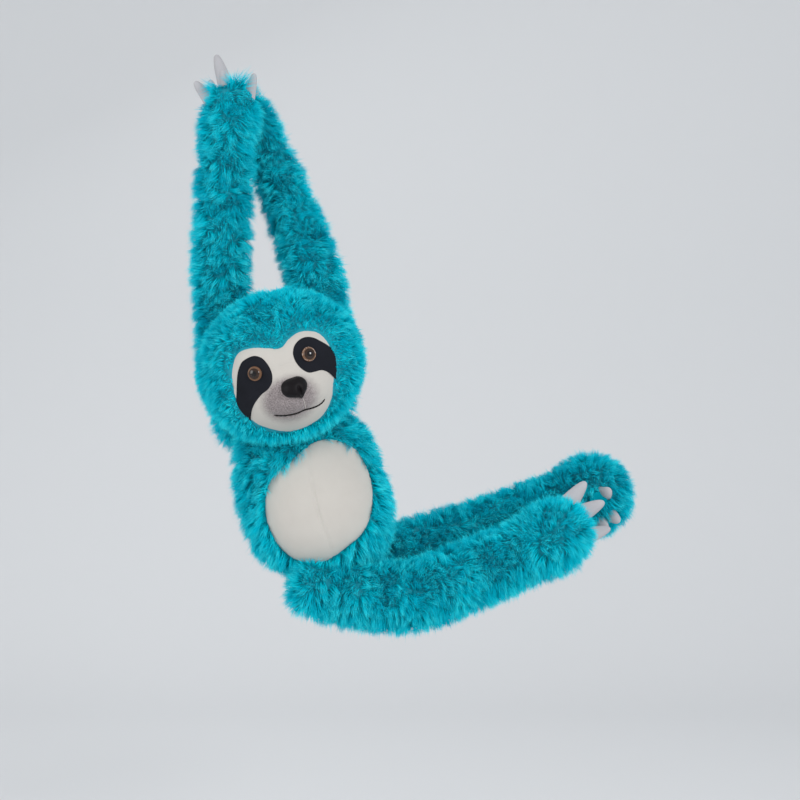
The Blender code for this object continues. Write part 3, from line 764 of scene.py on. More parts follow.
        line = np.stack([
            hairs["place"] + length[:, None] * own * t + bend * t * t + gather * t**1.6
            for t in self.levels
        ], axis=1)
        toward = hairs["normal"] * self.facing + rng.normal(0, self.twist, (total, 3))
        side = unit(np.cross(line[:, -1] - line[:, 0], toward))
        width = self.width * rng.uniform(*self.strand_width, total)
        verts = np.empty((total, 7, 3))
        for i, share in enumerate(self.taper):
            step = side * (width * share / 2)[:, None]
            verts[:, 2 * i] = line[:, i] - step
            verts[:, 2 * i + 1] = line[:, i] + step
        verts[:, 6] = line[:, 3]
        shade = np.clip(tone[owner] + rng.normal(0, self.strand_tone, total), 0.02, 0.98)
        parts = max(math.ceil(total / self.most), 1)
        edges = np.linspace(0, total, parts + 1).astype(int)
        found = []
        for part, (first, last) in enumerate(zip(edges[:-1], edges[1:])):
            label = name if parts == 1 else f"{name}_{part + 1}"
            found.append(self.build(label, verts[first:last], shade[first:last], material))
        return found

    def build(
        self, name: str, verts: np.ndarray, shade: np.ndarray, material: bpy.types.Material
    ) -> bpy.types.Object:
        """Writes strands into a mesh.

        Args:
            name: Name of the piece.
            verts: Seven points for each strand.
            shade: The tone of each strand.
            material: The pile's finish.

        Returns:
            The piece.
        """
        total = len(verts)
        mesh = bpy.data.meshes.new(name)
        mesh.vertices.add(total * 7)
        mesh.vertices.foreach_set("co", verts.astype(np.float32).ravel())
        corners = np.array((0, 1, 3, 2, 2, 3, 5, 4, 4, 5, 6))
        loops = (np.arange(total)[:, None] * 7 + corners).ravel()
        mesh.loops.add(len(loops))
        mesh.loops.foreach_set("vertex_index", loops.astype(np.int32))
        mesh.polygons.add(total * 3)
        starts = (np.arange(total)[:, None] * 11 + np.array((0, 4, 8))).ravel()
        mesh.polygons.foreach_set("loop_start", starts.astype(np.int32))
        mesh.update(calc_edges=True)
        mesh.uv_layers.new(name="OFBake")
        along = np.array(self.levels)[[0, 0, 1, 1, 2, 2, 3]]
        map_points = np.empty((total, 11, 2), np.float32)
        map_points[:, :, 0] = shade[:, None]
        map_points[:, :, 1] = np.clip(along, 0.01, 0.99)[corners]
        mesh.uv_layers["OFBake"].data.foreach_set("uv", map_points.ravel())
        mesh.materials.append(material)
        piece = bpy.data.objects.new(name, mesh)
        bpy.context.scene.collection.objects.link(piece)
        return piece


# Limbs


@dataclass(frozen=True)
class Build:
    """The cut of one limb.

    The girths are the backing's radii from root to wrist. The paw has its radius, bluntness and
    reach past the wrist, and the cap is the stub behind the root. The pile is longer by the crest
    at the paw's end, and down to the trim within the room about the claws that are bare, each
    with what lies below it, where the palm's axis weighs by the depth. The heave moves the root.
    """

    names: tuple[str, str, str]
    girths: tuple[float, ...]
    paw: float
    blunt: float
    reach: float
    cap: float
    whorl: bool
    seed: int
    crest: float = 0.0
    trim: float = 0.30
    room: float = 0.012
    depth: float = 1.0
    bare: tuple[tuple[int, float], ...] = ((1, 0.0), (2, 0.0), (3, 0.0))
    heave: tuple[float, float, float] = (0.0, 0.0, 0.0)
    pile: Pile = Pile()


HAND = ("upper_arm", "forearm", "hand")
FOOT = ("thigh", "shin", "foot")
BUILDS = {
    ("arm", Side.RIGHT): Build(
        HAND, (0.0250, 0.0345, 0.0270, 0.0265), paw=0.0280, blunt=2.6, reach=0.082, cap=0.018,
        whorl=False, seed=11, crest=1.2, trim=0.10, room=0.0050, depth=0.15,
        bare=((1, 0.003), (2, 0.020), (3, 0.006)),
    ),
    ("arm", Side.LEFT): Build(
        HAND, (0.0150, 0.0275, 0.0280, 0.0210), paw=0.0285, blunt=2.6, reach=0.084, cap=0.010,
        whorl=False, seed=12, crest=0.6, trim=0.2, room=0.008, depth=0.4,
        bare=((1, 0.008), (2, 0.012)),
    ),
    ("leg", Side.RIGHT): Build(
        FOOT, (0.0265, 0.0345, 0.0345, 0.0330), paw=0.0370, blunt=2.1, reach=0.086, cap=0.012,
        whorl=True, seed=51, heave=(-0.006, -0.004, 0.014),
    ),
    ("leg", Side.LEFT): Build(
        FOOT, (0.0300, 0.0345, 0.0355, 0.0370), paw=0.0450, blunt=2.1, reach=0.092, cap=0.022,
        whorl=True, seed=52, trim=0.50, room=0.007,
    ),
}
LEANS = {
    ("arm", Side.RIGHT): 8.0,
    ("arm", Side.LEFT): -36.0,
    ("leg", Side.RIGHT): 60.5,
    ("leg", Side.LEFT): 68.0,
}


def strands(pieces: Sequence[bpy.types.Object]) -> int:
    """How many strands the pieces of a pile have."""
    return sum(len(piece.data.polygons) for piece in pieces) // 3


class Limb:
    """An arm or a leg: three padded lengths of pile fabric."""

    RINGS = 26
    SIDES = 20
    END_RINGS = 9
    STEP = 0.006
    PASSES = 22
    FULLEST = 0.42
    HALF_STEP = 0.012
    PALM_REACH = 0.0055
    PALM_GROWTH = 0.62

    def __init__(self, side: Side, build: Build, joints: dict[str, dict], ahead: Vector) -> None:
        """Lays out the limb's line.

        Args:
            side: The toy's side.
            build: The kind of limb.
            joints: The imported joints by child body.
            ahead: The way the paw points.
        """
        self.side = side
        self.build = build
        self.bodies = [f"{name}_{side.label}" for name in build.names]
        self.places = [np.array(joints[body]["pos_m"]) for body in self.bodies]
        self.places.append(self.places[2] + np.array(ahead) * build.reach)
        self.stub = build.cap
        back = unit(self.places[0] - self.places[1]) * self.stub
        heave = np.array(build.heave)
        root = self.places[0]
        corners = [root + back + heave, root + heave * 0.8, *self.places[1:]]
        self.line = self.smooth_line(corners)
        gaps = np.linalg.norm(np.diff(self.line, axis=0), axis=1)
        self.run = np.concatenate(((0.0,), np.cumsum(gaps)))
        nearest = [int(np.argmin(np.linalg.norm(self.line - p, axis=1))) for p in self.places]
        self.knots = self.run[nearest]

    def smooth_line(self, corners: Sequence[np.ndarray]) -> np.ndarray:
        """The limb's middle line, rounded at its joints.

        Args:
            corners: The line's corners.

        Returns:
            Points from behind the root to the paw's end.
        """
        found = []
        for a, b in zip(corners[:-1], corners[1:]):
            count = max(int(np.linalg.norm(b - a) / self.STEP), 2)
            found += [a + (b - a) * i / count for i in range(count)]
        found.append(corners[-1])
        line = np.array(found)
        for _ in range(self.PASSES):
            line[1:-1] = line[1:-1] * 0.5 + (line[:-2] + line[2:]) * 0.25
        return line

    def girth(self, along: float) -> float:
        """The backing's radius at a place along the limb.

        Args:
            along: The distance from the root.

        Returns:
            The radius.
        """
        root, wrist, end = self.knots[0], self.knots[2], self.knots[3]
        full = root + (self.knots[1] - root) * self.FULLEST
        knots = [root, full, self.knots[1], wrist, (wrist + end) / 2]
        return float(np.interp(along, knots, (*self.build.girths, self.build.paw)))

    def at(self, along: float) -> tuple[np.ndarray, np.ndarray]:
        """The place and the heading of the limb's line.

        Args:
            along: The distance from the root.

        Returns:
            The point and the unit tangent there.
        """
        spots = [along]
        spots += [np.clip(along + d, 0, self.run[-1]) for d in (-self.HALF_STEP, self.HALF_STEP)]
        place, low, high = (
            np.array([np.interp(s, self.run, self.line[:, i]) for i in range(3)]) for s in spots
        )
        return place, unit(high - low)

    def stations(self, first: float, last: float, tip: bool) -> list[tuple[float, float]]:
        """Where the rings of a stretch lie, and how wide each is.

        Args:
            first: Where the stretch begins.
            last: Where it ends.
            tip: Whether it closes in the paw's blunt end.

        Returns:
            Distances along the limb and radii.
        """
        if not tip:
            found = [(s, self.girth(s)) for s in np.linspace(first, last, self.RINGS)]
            if first == 0.0:
                for i, (s, radius) in enumerate(found):
                    if s < self.stub:
                        short = (1 - s / self.stub) ** 2
                        found[i] = (s, radius * math.sqrt(max(1 - short, 0.02)))
            return found
        wide = self.build.paw
        bend = last - wide * 1.15
        count = self.RINGS - self.END_RINGS + 1
        found = [(s, self.girth(s)) for s in np.linspace(first, bend, count)]
        power = 2 / self.build.blunt
        for i in range(1, self.END_RINGS):
            angle = math.radians(90.0 * i / self.END_RINGS)
            radius = wide * math.cos(angle) ** power
            found.append((bend + (last - bend) * math.sin(angle) ** power, radius))
        return found

    def stretch(self, first: float, last: float, tip: bool) -> Coat:
        """The backing of one stretch of the limb.

        Args:
            first: Where it begins.
            last: Where it ends.
            tip: Whether it closes in the paw's blunt end.

        Returns:
            The coat.
        """
        points, flows, growth = [], [], []
        palm = self.side.palm
        rings = self.stations(first, last, tip)
        for along, radius in rings:
            place, heading = self.at(along)
            out = unit(np.array((0.0, palm, 0.0)) - heading * heading[1] * palm)
            across = np.cross(heading, out)
            for i in range(self.SIDES):
                angle = math.tau * i / self.SIDES
                spoke = out * math.cos(angle) + across * math.sin(angle)
                points.append(place + spoke * radius)
                flows.append(self.flow(points[-1], heading))
                growth.append(1.0)
        sides = self.SIDES
        faces = bands(sides, len(rings))
        for along, start in ((rings[0][0], 0), (last, (len(rings) - 1) * sides)):
            place, heading = self.at(along)
            points.append(place)
            flows.append(self.flow(place, heading))
            growth.append(0.0 if start == 0 or not tip else 1.0)
            middle = len(points) - 1
            for i in range(sides):
                a, b = start + i, start + (i + 1) % sides
                faces.append((b, a, middle) if start == 0 else (a, b, middle))
        spots = np.array(points)
        grow = np.array(growth)
        if tip:
            limit = self.PALM_REACH
            runs = np.repeat([s for s, _ in rings], sides)
            runs = np.concatenate((runs, (rings[0][0], last)))
            shut = smoothstep(self.knots[2] - 0.045, self.knots[2] + 0.005, runs)
            near = spots[:, 1] * palm
            over = np.maximum(near + limit, 0.0)
            flat = (near > -limit - 0.001) & (shut > 0.3)
            wide = self.build.paw
            crest = smoothstep(last - 0.55 * wide, last - 0.15 * wide, runs)
            grow = grow * (1 + self.build.crest * crest)
            grow = np.where(flat, self.PALM_GROWTH, grow)
            grow = grow * self.claw_room(spots)
            spots[:, 1] -= palm * over * shut
        return Coat(spots, faces, np.array(flows), grow)

    def claw_room(self, spots: np.ndarray) -> np.ndarray:
        """How short the pile is trimmed about the claws.

        Args:
            spots: Points of the paw's backing.

        Returns:
            Shares of its full length.
        """
        found = np.ones(len(spots))
        weigh = np.array((1.0, self.build.depth, 1.0))
        paw = Paw.node_points(f"{self.bodies[2]}_skin").mean(axis=0)
        for number, below in self.build.bare:
            claw = Paw.node_points(f"{self.bodies[2]}_claw_{number}")
            root = below * unit(paw - claw.mean(axis=0))
            core = (claw + claw.mean(axis=0)) / 2
            claw = np.concatenate((claw, core, claw + root / 2, claw + root))
            gap = np.linalg.norm((spots[:, None] - claw[None]) * weigh, axis=2).min(axis=1)
            low = self.build.trim
            found = np.minimum(found, low + (1 - low) * smoothstep(0.002, self.build.room, gap))
        return found

    def flow(self, place: np.ndarray, heading: np.ndarray) -> np.ndarray:
        """The way the pile is combed at a place.

        Args:
            place: The point on the backing.
            heading: The limb's tangent there.

        Returns:
            A vector of about unit length.
        """
        if not self.build.whorl:
            return heading * -0.30 + DOWN * 0.30
        whorl = self.places[3] - (self.places[3] - self.places[2]) * 0.45
        whorl = whorl + np.array((0.0, -self.side.palm * self.build.paw, 0.0))
        away = place - whorl
        share = float(smoothstep(0.11, 0.05, float(np.linalg.norm(away))))
        return unit(away) * share + (heading * 0.2 + DOWN * 0.3) * (1 - share)

    def dress(self, parent: str, backing: bpy.types.Material, fur: bpy.types.Material) -> None:
        """Makes the limb's three lengths.

        Args:
            parent: Not used.
            backing: The backing's finish.
            fur: The pile's finish.
        """
        k = self.knots
        cuts = (0.0, (k[0] + k[1]) / 2, (k[1] + k[2]) / 2, k[3])
        reach = 1.15 * self.build.paw
        for i in range(3):
            coat = self.stretch(cuts[i], cuts[i + 1], i == 2)
            name = f"{self.build.names[i]}_{self.side.label}"
            pad = mesh_object(f"{name}_pad_form", coat.points, coat.faces, [backing])
            hairs = self.build.pile.grow(f"{name}_pile", coat, fur, self.build.seed + 7 * i)
            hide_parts(f"{name}_skin", f"{name}_stuffing")
            start, end = (self.at(s)[0] for s in (max(k[i] - reach, 0.0), k[i] + reach))
            if i == 0:
                start = self.places[0] - (end - self.places[0]) * 0.8
            for piece in (pad, *hairs):
                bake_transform(piece)
            LOG.info("%s: %d strands", name, strands(hairs))


# Torso and head


@dataclass(frozen=True)
class TorsoSize:
    """The torso's barrel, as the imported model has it."""

    foot: tuple = (0.098, -0.088, -0.584)
    height: float = 0.222
    half_width: float = 0.093
    front: float = 0.080
    back: float = 0.072
    shift_x: float = 0.045
    shift_y: float = 0.022
    power: float = 0.75
    taper: float = 0.18
    shoulder: float = 0.014


@dataclass(frozen=True)
class HeadSize:
    """The head's ellipsoid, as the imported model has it."""

    middle: tuple = (0.0530, -0.147, -0.3271)
    half_width: float = 0.097
    half_height: float = 0.087
    tilt: float = 20.3
    pitch: float = 35.0


def sphere_grid(sides: int, rings: int) -> tuple[np.ndarray, list[tuple[int, ...]]]:
    """A unit sphere of rings about Z.

    Args:
        sides: Points in a ring.
        rings: Bands from pole to pole.

    Returns:
        Its points and faces.
    """
    points = [(0.0, 0.0, -1.0)]
    for ring in range(1, rings):
        angle = math.pi * ring / rings - math.pi / 2
        for i in range(sides):
            turn = math.tau * i / sides
            wide, up = math.cos(angle), math.sin(angle)
            points.append((wide * math.cos(turn), wide * math.sin(turn), up))
    points.append((0.0, 0.0, 1.0))
    faces: list[tuple[int, ...]] = []
    top = len(points) - 1
    for i in range(sides):
        faces.append((0, 1 + (i + 1) % sides, 1 + i))
        last = 1 + (rings - 2) * sides
        faces.append((top, last + i, last + (i + 1) % sides))
        for ring in range(rings - 2):
            a, b = 1 + ring * sides + i, 1 + ring * sides + (i + 1) % sides
            faces.append((a, b, b + sides, a + sides))
    return np.array(points), faces


class Torso:
    """The torso: its padded barrel and its pile."""

    INSET = 0.0050
    PARTING = (0.105, -0.165, -0.480)
    LAP = (0.545, 0.580)

    def __init__(self, size: TorsoSize) -> None:
        """Keeps the torso's sizes.

        Args:
            size: The barrel.
        """
        self.size = size

    def surface(self, units: np.ndarray, inset: float) -> np.ndarray:
        """Points of the barrel.

        Args:
            units: Points of the unit sphere.
            inset: How far inside the barrel they lie.

        Returns:
            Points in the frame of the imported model.
        """
        s = self.size
        t = (1 + units[:, 2]) / 2
        around = np.maximum(np.hypot(units[:, 0], units[:, 1]), 1e-9)
        share = around**s.power * (1 - s.taper * t * t)
        cos, sin = units[:, 0] / around, units[:, 1] / around
        depth = np.where(sin < 0, s.front, s.back) - inset
        x = (s.half_width - inset) * share * cos - s.shift_x * t * t
        x = x + s.shoulder * np.clip(cos, 0.0, 1.0) * smoothstep(0.60, 0.82, t) * np.sqrt(around)
        y = depth * share * sin + s.shift_y * t * t
        z = inset + (s.height - 2 * inset) * t
        return np.array(s.foot) + np.stack((x, y, z), axis=1)

    def dress(self, belly: "Belly", backing: bpy.types.Material, fur: bpy.types.Material) -> None:
        """Makes the padded barrel and its pile.

        Args:
            belly: The belly, which carries no pile.
            backing: The backing's finish.
            fur: The pile's finish.
        """
        units, faces = sphere_grid(56, 40)
        points = self.surface(units, self.INSET)
        away = points - np.array(self.PARTING)
        flow = unit(away) * 0.3 + DOWN * 0.55
        growth = belly.growth(points, 0.80) * (1 - 0.5 * smoothstep(*self.LAP, -points[:, 2]))
        coat = Coat(points, faces, flow, growth, belly.growth)
        pad = mesh_object("torso_form", points, faces, [backing])
        hairs = Pile(droop=0.30).grow("torso_pile", coat, fur, 5)
        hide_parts("torso_skin", "torso_stuffing")
        for piece in (pad, *hairs):
            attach(piece, "torso")
        LOG.info("torso: %d strands", strands(hairs))


class Head:
    """The head: its padded form, its pile and the places of its face."""

    INSET = 0.0055
    AHEAD = 0.02

    def __init__(self, size: HeadSize) -> None:
        """Keeps the head's sizes.

        Args:
            size: The ellipsoid.
        """
        self.size = size
        self.tilt = Matrix.Rotation(math.radians(-size.tilt), 3, "Y")
        self.turn = self.tilt @ Matrix.Rotation(math.radians(size.pitch), 3, "X")

    def surface(self, units: np.ndarray, inset: float) -> np.ndarray:
        """Points of the head.

        Args:
            units: Points of the unit sphere.
            inset: How far inside the head they lie.

        Returns:
            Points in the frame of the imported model.
        """
        s = self.size
        radii = np.array((s.half_width, s.half_height, s.half_height)) - inset
        return np.array(s.middle) + (units * radii) @ np.array(self.turn).T

    def project(self, flat: np.ndarray, inset: np.ndarray | float) -> tuple[np.ndarray, np.ndarray]:
        """Where lines from the front through places of the face plane meet the head.

        Args:
            flat: Rows of across and up in the face plane.
            inset: How far inside the head's surface to stop, for each place.

        Returns:
            The points and the ways out there.
        """
        s = self.size
        zero = np.zeros(len(flat))
        moved = flat + np.array(Face.SHIFT)
        offset = np.stack((moved[:, 0], zero, moved[:, 1]), axis=1) @ np.array(self.tilt).T
        turn = np.array(self.turn)
        start = offset @ turn
        ahead = np.array((0.0, -1.0, 0.0)) @ turn
        radii = np.array((s.half_width, s.half_height, s.half_height)) - np.reshape(inset, (-1, 1))
        p, d = start / radii, ahead / radii
        a, b, c = (d * d).sum(axis=1), (p * d).sum(axis=1), (p * p).sum(axis=1) - 1
        reach = (-b + np.sqrt(np.maximum(b * b - a * c, 0.0))) / a
        local = start + reach[:, None] * ahead
        normal = unit(local / radii**2)
        return np.array(s.middle) + local @ turn.T, normal @ turn.T

    def face_plane(self, points: np.ndarray) -> np.ndarray:
        """Where points lie in the tilted plane of the face.

        Args:
            points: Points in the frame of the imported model.

        Returns:
            Rows of across, ahead and up.
        """
        local = (points - np.array(self.size.middle)) @ np.array(self.tilt)
        local[:, (0, 2)] -= np.array(Face.SHIFT)
        return local * np.array((1.0, -1.0, 1.0))

    def dress(self, face: "Face", backing: bpy.types.Material, fur: bpy.types.Material) -> None:
        """Makes the padded form and its pile.

        Args:
            face: The face, which carries no pile.
            backing: The backing's finish.
            fur: The pile's finish.
        """
        units, faces = sphere_grid(64, 48)
        points = self.surface(units, self.INSET)
        local = self.face_plane(points)
        ahead = local[:, 1] > self.AHEAD
        radial = np.stack((local[:, 0], np.full(len(local), -0.02), local[:, 2] + 0.015), axis=1)
        flow = unit(radial * np.array((1.0, -1.0, 1.0))) @ np.array(self.tilt).T
        edge = face.distance(local)
        growth = np.where(ahead, smoothstep(-0.004, 0.020, edge) * 0.62 + 0.38, 1.0)
        growth = np.where(ahead & (edge < -0.002), 0.0, growth)
        coat = Coat(points, faces, flow * 0.75 + DOWN * 0.25, growth)
        pad = mesh_object("head_form", points, faces, [backing])
        hairs = Pile(length=0.0130, droop=0.20, lift=0.85).grow("head_pile", coat, fur, 9)
        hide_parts("head_skin", "head_stuffing")
        for piece in (pad, *hairs):
            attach(piece, "head")
        LOG.info("head: %d strands", strands(hairs))


class Face:
    """The velour face: its heart-shaped panel, patches, eyes, muzzle, nose and mouth."""

    SHIFT = (0.0039, -0.0033)
    MM = 0.001
    FULLER = (1.025, 1.070)
    WAIST = (22.0, -22.0)
    OUTLINE = (
        (-52.2, 20.4), (-45.6, 27.8), (-35.8, 31.4), (-21.4, 30.0), (-5.9, 24.3), (6.1, 19.8),
        (15.9, 25.1), (29.1, 29.0), (42.1, 27.1), (54.9, 19.4), (61.3, 5.3), (61.8, -9.4),
        (59.0, -22.2), (48.4, -45.7), (37.5, -59.2), (23.8, -69.8), (10.0, -75.4), (-8.3, -77.5),
        (-26.2, -72.8), (-42.1, -63.0), (-55.2, -50.6), (-63.0, -33.2), (-65.0, -18.3),
        (-62.8, -3.2), (-58.8, 9.2),
    )
    PATCHES = {
        Side.RIGHT: (
            (-25.9, 20.0), (-38.5, 18.9), (-45.3, 13.7), (-50.2, 6.9), (-55.0, -2.8),
            (-59.6, -13.0), (-63.6, -21.2), (-65.0, -30.0), (-64.6, -39.5), (-59.8, -51.0),
            (-54.2, -42.6), (-49.8, -36.4), (-43.0, -30.2), (-31.6, -23.6), (-22.8, -20.4),
            (-16.0, -15.4), (-12.8, -8.0), (-12.6, -0.5), (-14.0, 6.8), (-17.8, 14.8),
        ),
        Side.LEFT: (
            (39.3, 19.2), (45.4, 15.8), (51.8, 9.1), (57.8, 1.4), (63.4, -8.2), (63.6, -17.2),
            (60.4, -26.3), (53.6, -38.0), (50.6, -33.5), (47.2, -26.9), (41.3, -21.7),
            (33.8, -20.4), (25.4, -18.4), (19.6, -11.5), (17.0, -2.6), (17.0, 5.2), (18.9, 10.5),
            (22.2, 15.1), (27.4, 18.5), (33.2, 20.0),
        ),
    }
    EYES = {Side.RIGHT: (-30.4, 0.6), Side.LEFT: (33.2, 0.3)}
    EYE_RADIUS = 0.00830
    EYE_BULGE = 0.0056
    MUZZLE_SPOT = (2.0, -38.0)
    MUZZLE_HALF = (0.0440, 0.0370)
    MUZZLE_REACH = 0.0145
    SPRAY_SPOT = (-4.0, -39.5)
    SPRAY_HALF = (0.0350, 0.0265)
    NOSE_SPOT = (6.5, -27.6)
    MOUTH = (
        (-27.4, -49.9), (-21.3, -51.7), (-12.5, -53.3), (-3.3, -54.1), (4.5, -53.5), (8.7, -53.9),
        (14.7, -55.1), (20.8, -55.8), (26.7, -55.1), (31.9, -52.6),
    )
    LIP_SEAM = ((9.6, -40.5), (9.4, -45.0), (8.6, -49.5), (8.2, -53.6))

    def __init__(self, head: "Head") -> None:
        """Draws the outline.

        Args:
            head: The head that carries the face.
        """
        self.head = head
        waist = np.array(self.WAIST)
        knots = (np.array(self.OUTLINE) - waist) * np.array(self.FULLER) + waist
        self.outline = self.spline(knots * self.MM, 6)

    @staticmethod
    def spline(knots: np.ndarray, steps: int, closed: bool = True) -> np.ndarray:
        """A smooth line through knots.

        Args:
            knots: The knots.
            steps: Points for each knot.
            closed: Whether the line closes on itself.

        Returns:
            The line's points.
        """
        found = []
        count = len(knots)
        for i in range(count if closed else count - 1):
            near = range(i - 1, i + 3)
            a, b, c, d = knots[[k % count if closed else min(max(k, 0), count - 1) for k in near]]
            for step in range(steps):
                t = step / steps
                ahead = (c - a) * t + (2 * a - 5 * b + 4 * c - d) * t * t
                found.append(b + (ahead + (3 * b - a - 3 * c + d) * t**3) / 2)
        if not closed:
            found.append(knots[-1])
        return np.array(found)

    def distance(self, local: np.ndarray) -> np.ndarray:
        """How far places of the face plane lie outside the outline.

        Args:
            local: Rows of across, ahead and up.

        Returns:
            Distances, which are negative inside.
        """
        flat = local[:, (0, 2)]
        nearest = np.linalg.norm(flat[:, None] - self.outline[None], axis=2).min(axis=1)
        inside = np.zeros(len(flat), bool)
        ring = self.outline
        for a, b in zip(ring, np.roll(ring, -1, axis=0)):
            crosses = (a[1] > flat[:, 1]) != (b[1] > flat[:, 1])
            with np.errstate(divide="ignore", invalid="ignore"):
                where = (b[0] - a[0]) * (flat[:, 1] - a[1]) / (b[1] - a[1]) + a[0]
            inside ^= crosses & (flat[:, 0] < where)
        return np.where(inside, -nearest, nearest)

    def inset(self, flat: np.ndarray) -> np.ndarray:
        """How far the stuffed panel lies inside the head's outer surface.

        Args:
            flat: Places in the face plane.

        Returns:
            The inset at each.
        """
        local = np.stack((flat[:, 0], np.zeros(len(flat)), flat[:, 1]), axis=1)
        depth = -self.distance(local)
        return 0.0085 - 0.0062 * np.sqrt(np.clip(depth / 0.022, 0.0, 1.0))

    def panel_point(
        self, flat: np.ndarray, out: np.ndarray | float
    ) -> tuple[np.ndarray, np.ndarray]:
        """Points over the stuffed panel.

        Args:
            flat: Places in the face plane.
            out: How far out from the panel, along the way out.

        Returns:
            The points and the ways out there.
        """
        places, normals = self.head.project(flat, self.inset(flat))
        return places + normals * np.reshape(out, (-1, 1)), normals

    def muzzle_height(self, flat: np.ndarray) -> np.ndarray:
        """How far the muzzle stands out of the panel.

        Args:
            flat: Places in the face plane.

        Returns:
            The height at each.
        """
        local = (flat - np.array(self.MUZZLE_SPOT) * self.MM) / np.array(self.MUZZLE_HALF)
        far = np.clip(np.linalg.norm(local, axis=1), 0.0, 1.0)
        return self.MUZZLE_REACH * (1 - far**2) ** 1.9

    def panel(self, cloth: bpy.types.Material) -> None:
        """Makes the stuffed panel.

        Args:
            cloth: Its finish.
        """
        grown = self.outline * 1.025
        points, faces = dome(
            grown,
            np.array((0.0, -0.022)),
            30,
            lambda flat, _: self.panel_point(flat, 0.0)[0],
            lambda flat, _: self.panel_point(flat, -0.0022)[0],
        )
        piece = face_out(mesh_object("face_velour", points, faces, [cloth]))
        settle(piece, "head", ["face_panel"])

    def patch(self, side: Side, cloth: bpy.types.Material) -> None:
        """Makes one eye patch.

        Args:
            side: The side that it lies on.
            cloth: Its finish.
        """
        outline = self.spline(np.array(self.PATCHES[side]) * self.MM, 6)
        centre = np.array(self.EYES[side]) * self.MM
        lean = np.array((-0.004 if side is Side.RIGHT else 0.003, -0.004))

        def front(flat: np.ndarray, share: np.ndarray) -> np.ndarray:
            """The patch's face over the panel and the muzzle's slope, rolled down at its edge."""
            crown = 0.0010 * np.sqrt(1 - 0.9 * share**6)
            return self.panel_point(flat, self.muzzle_height(flat) + crown)[0]

        def rear(flat: np.ndarray, _: np.ndarray) -> np.ndarray:
            """The patch's back, just under the cloth that it is sewn to."""
            return self.panel_point(flat, self.muzzle_height(flat) - 0.0006)[0]

        points, faces = dome(outline, centre + lean, 12, front, rear)
        piece = face_out(mesh_object(f"patch_{side.label}", points, faces, [cloth]))
        settle(piece, "head", [f"eye_patch_{side.label}"])

    def eye(self, side: Side, finish: EyeFinish) -> None:
        """Makes one eye: a domed button with a rolled rim, on its stem.

        Args:
            side: The side that it lies on.
            finish: Its plastic.
        """
        seat, normal = self.panel_point(np.array([self.EYES[side]]) * self.MM, 0.0008)
        middle, out = Vector(seat[0]), Vector(normal[0])
        turn = out.to_track_quat("Z", "Y").to_matrix()
        full, base, rim, sides = self.EYE_RADIUS, 0.0012, 0.0009, 48
        profile = []
        for i in range(15):
            angle = math.radians(90.0 - 90.0 * i / 14)
            high = base + (self.EYE_BULGE - base) * math.sin(angle)
            profile.append((full * 0.90 * math.cos(angle), high))
        for i in range(1, 8):
            angle = math.radians(150.0 - 200.0 * i / 7)
            profile.append((full * 0.93 + rim * math.cos(angle), rim + rim * math.sin(angle)))
        profile += [(full * 0.8, -0.0004), (0.0022, -0.0004), (0.0022, -0.012), (0.0, -0.012)]
        points = []
        for radius, height in profile:
            wide = max(radius, 1e-5)
            for i in range(sides):
                a = math.tau * i / sides
                spoke = Vector((wide * math.cos(a), wide * math.sin(a), height))
                points.append(middle + turn @ spoke)
        faces = tube(sides, len(profile))
        plastic = finish.material(middle + out * base, full, side.label)
        piece = face_out(mesh_object(f"eye_dome_{side.label}", points, faces, [plastic]))
        settle(piece, "head", [f"eye_{side.label}"])

    def muzzle_point(self, flat: np.ndarray, out: np.ndarray | float) -> np.ndarray:
        """Points over the muzzle.

        Args:
            flat: Places in the face plane.
            out: How far out from its cloth.

        Returns:
            The points.
        """
        places, normals = self.panel_point(flat, 0.0002)
        ahead = unit(normals * 0.55 + np.array((0.0, -1.0, 0.0)) * 0.45)
        height = self.muzzle_height(flat) - self.groove(flat)
        return places + ahead * (height + np.asarray(out)).reshape(-1, 1)

    def groove(self, flat: np.ndarray) -> np.ndarray:
        """The depth of the seam below the nose and of the pull of the mouth's stitches.

        Args:
            flat: Places in the face plane.

        Returns:
            The depth at each.
        """
        found = np.zeros(len(flat))
        for knots, depth, width in ((self.LIP_SEAM, 0.0009, 0.0013), (self.MOUTH, 0.0014, 0.0024)):
            line = self.spline(np.array(knots) * self.MM, 6, closed=False)
            gap = np.linalg.norm(flat[:, None] - line[None], axis=2).min(axis=1)
            found += depth * np.exp(-((gap / width) ** 2))
        return found

    def muzzle(self, finish: MuzzleFinish) -> None:
        """Makes the padded muzzle.

        Args:
            finish: Its sprayed cloth.
        """
        middle = np.array(self.MUZZLE_SPOT) * self.MM
        ring = []
        for i in range(120):
            angle = math.tau * i / 120
            ring.append(middle + np.array(self.MUZZLE_HALF) * (math.cos(angle), math.sin(angle)))
        points, faces = dome(
            np.array(ring),
            middle,
            56,
            lambda flat, share: self.muzzle_point(flat, -0.0006 * smoothstep(0.96, 1.0, share)),
            lambda flat, _: self.panel_point(flat, -0.0008)[0],
        )
        place, _ = self.panel_point(np.array([self.SPRAY_SPOT]) * self.MM, 0.0)
        cloth = finish.material(Vector(place[0]), self.head.tilt, self.SPRAY_HALF)
        piece = face_out(mesh_object("muzzle_pad", points, faces, [cloth]))
        settle(piece, "head", ["muzzle"])

    def nose(self, cloth: bpy.types.Material) -> None:
        """Makes the stuffed nose: a rounded triangle with a seam down its middle.

        Args:
            cloth: Its finish.
        """
        middle = np.array(self.NOSE_SPOT) * self.MM
        ring = self.spline(np.array(NOSE_OUTLINE) * self.MM, 8) + middle

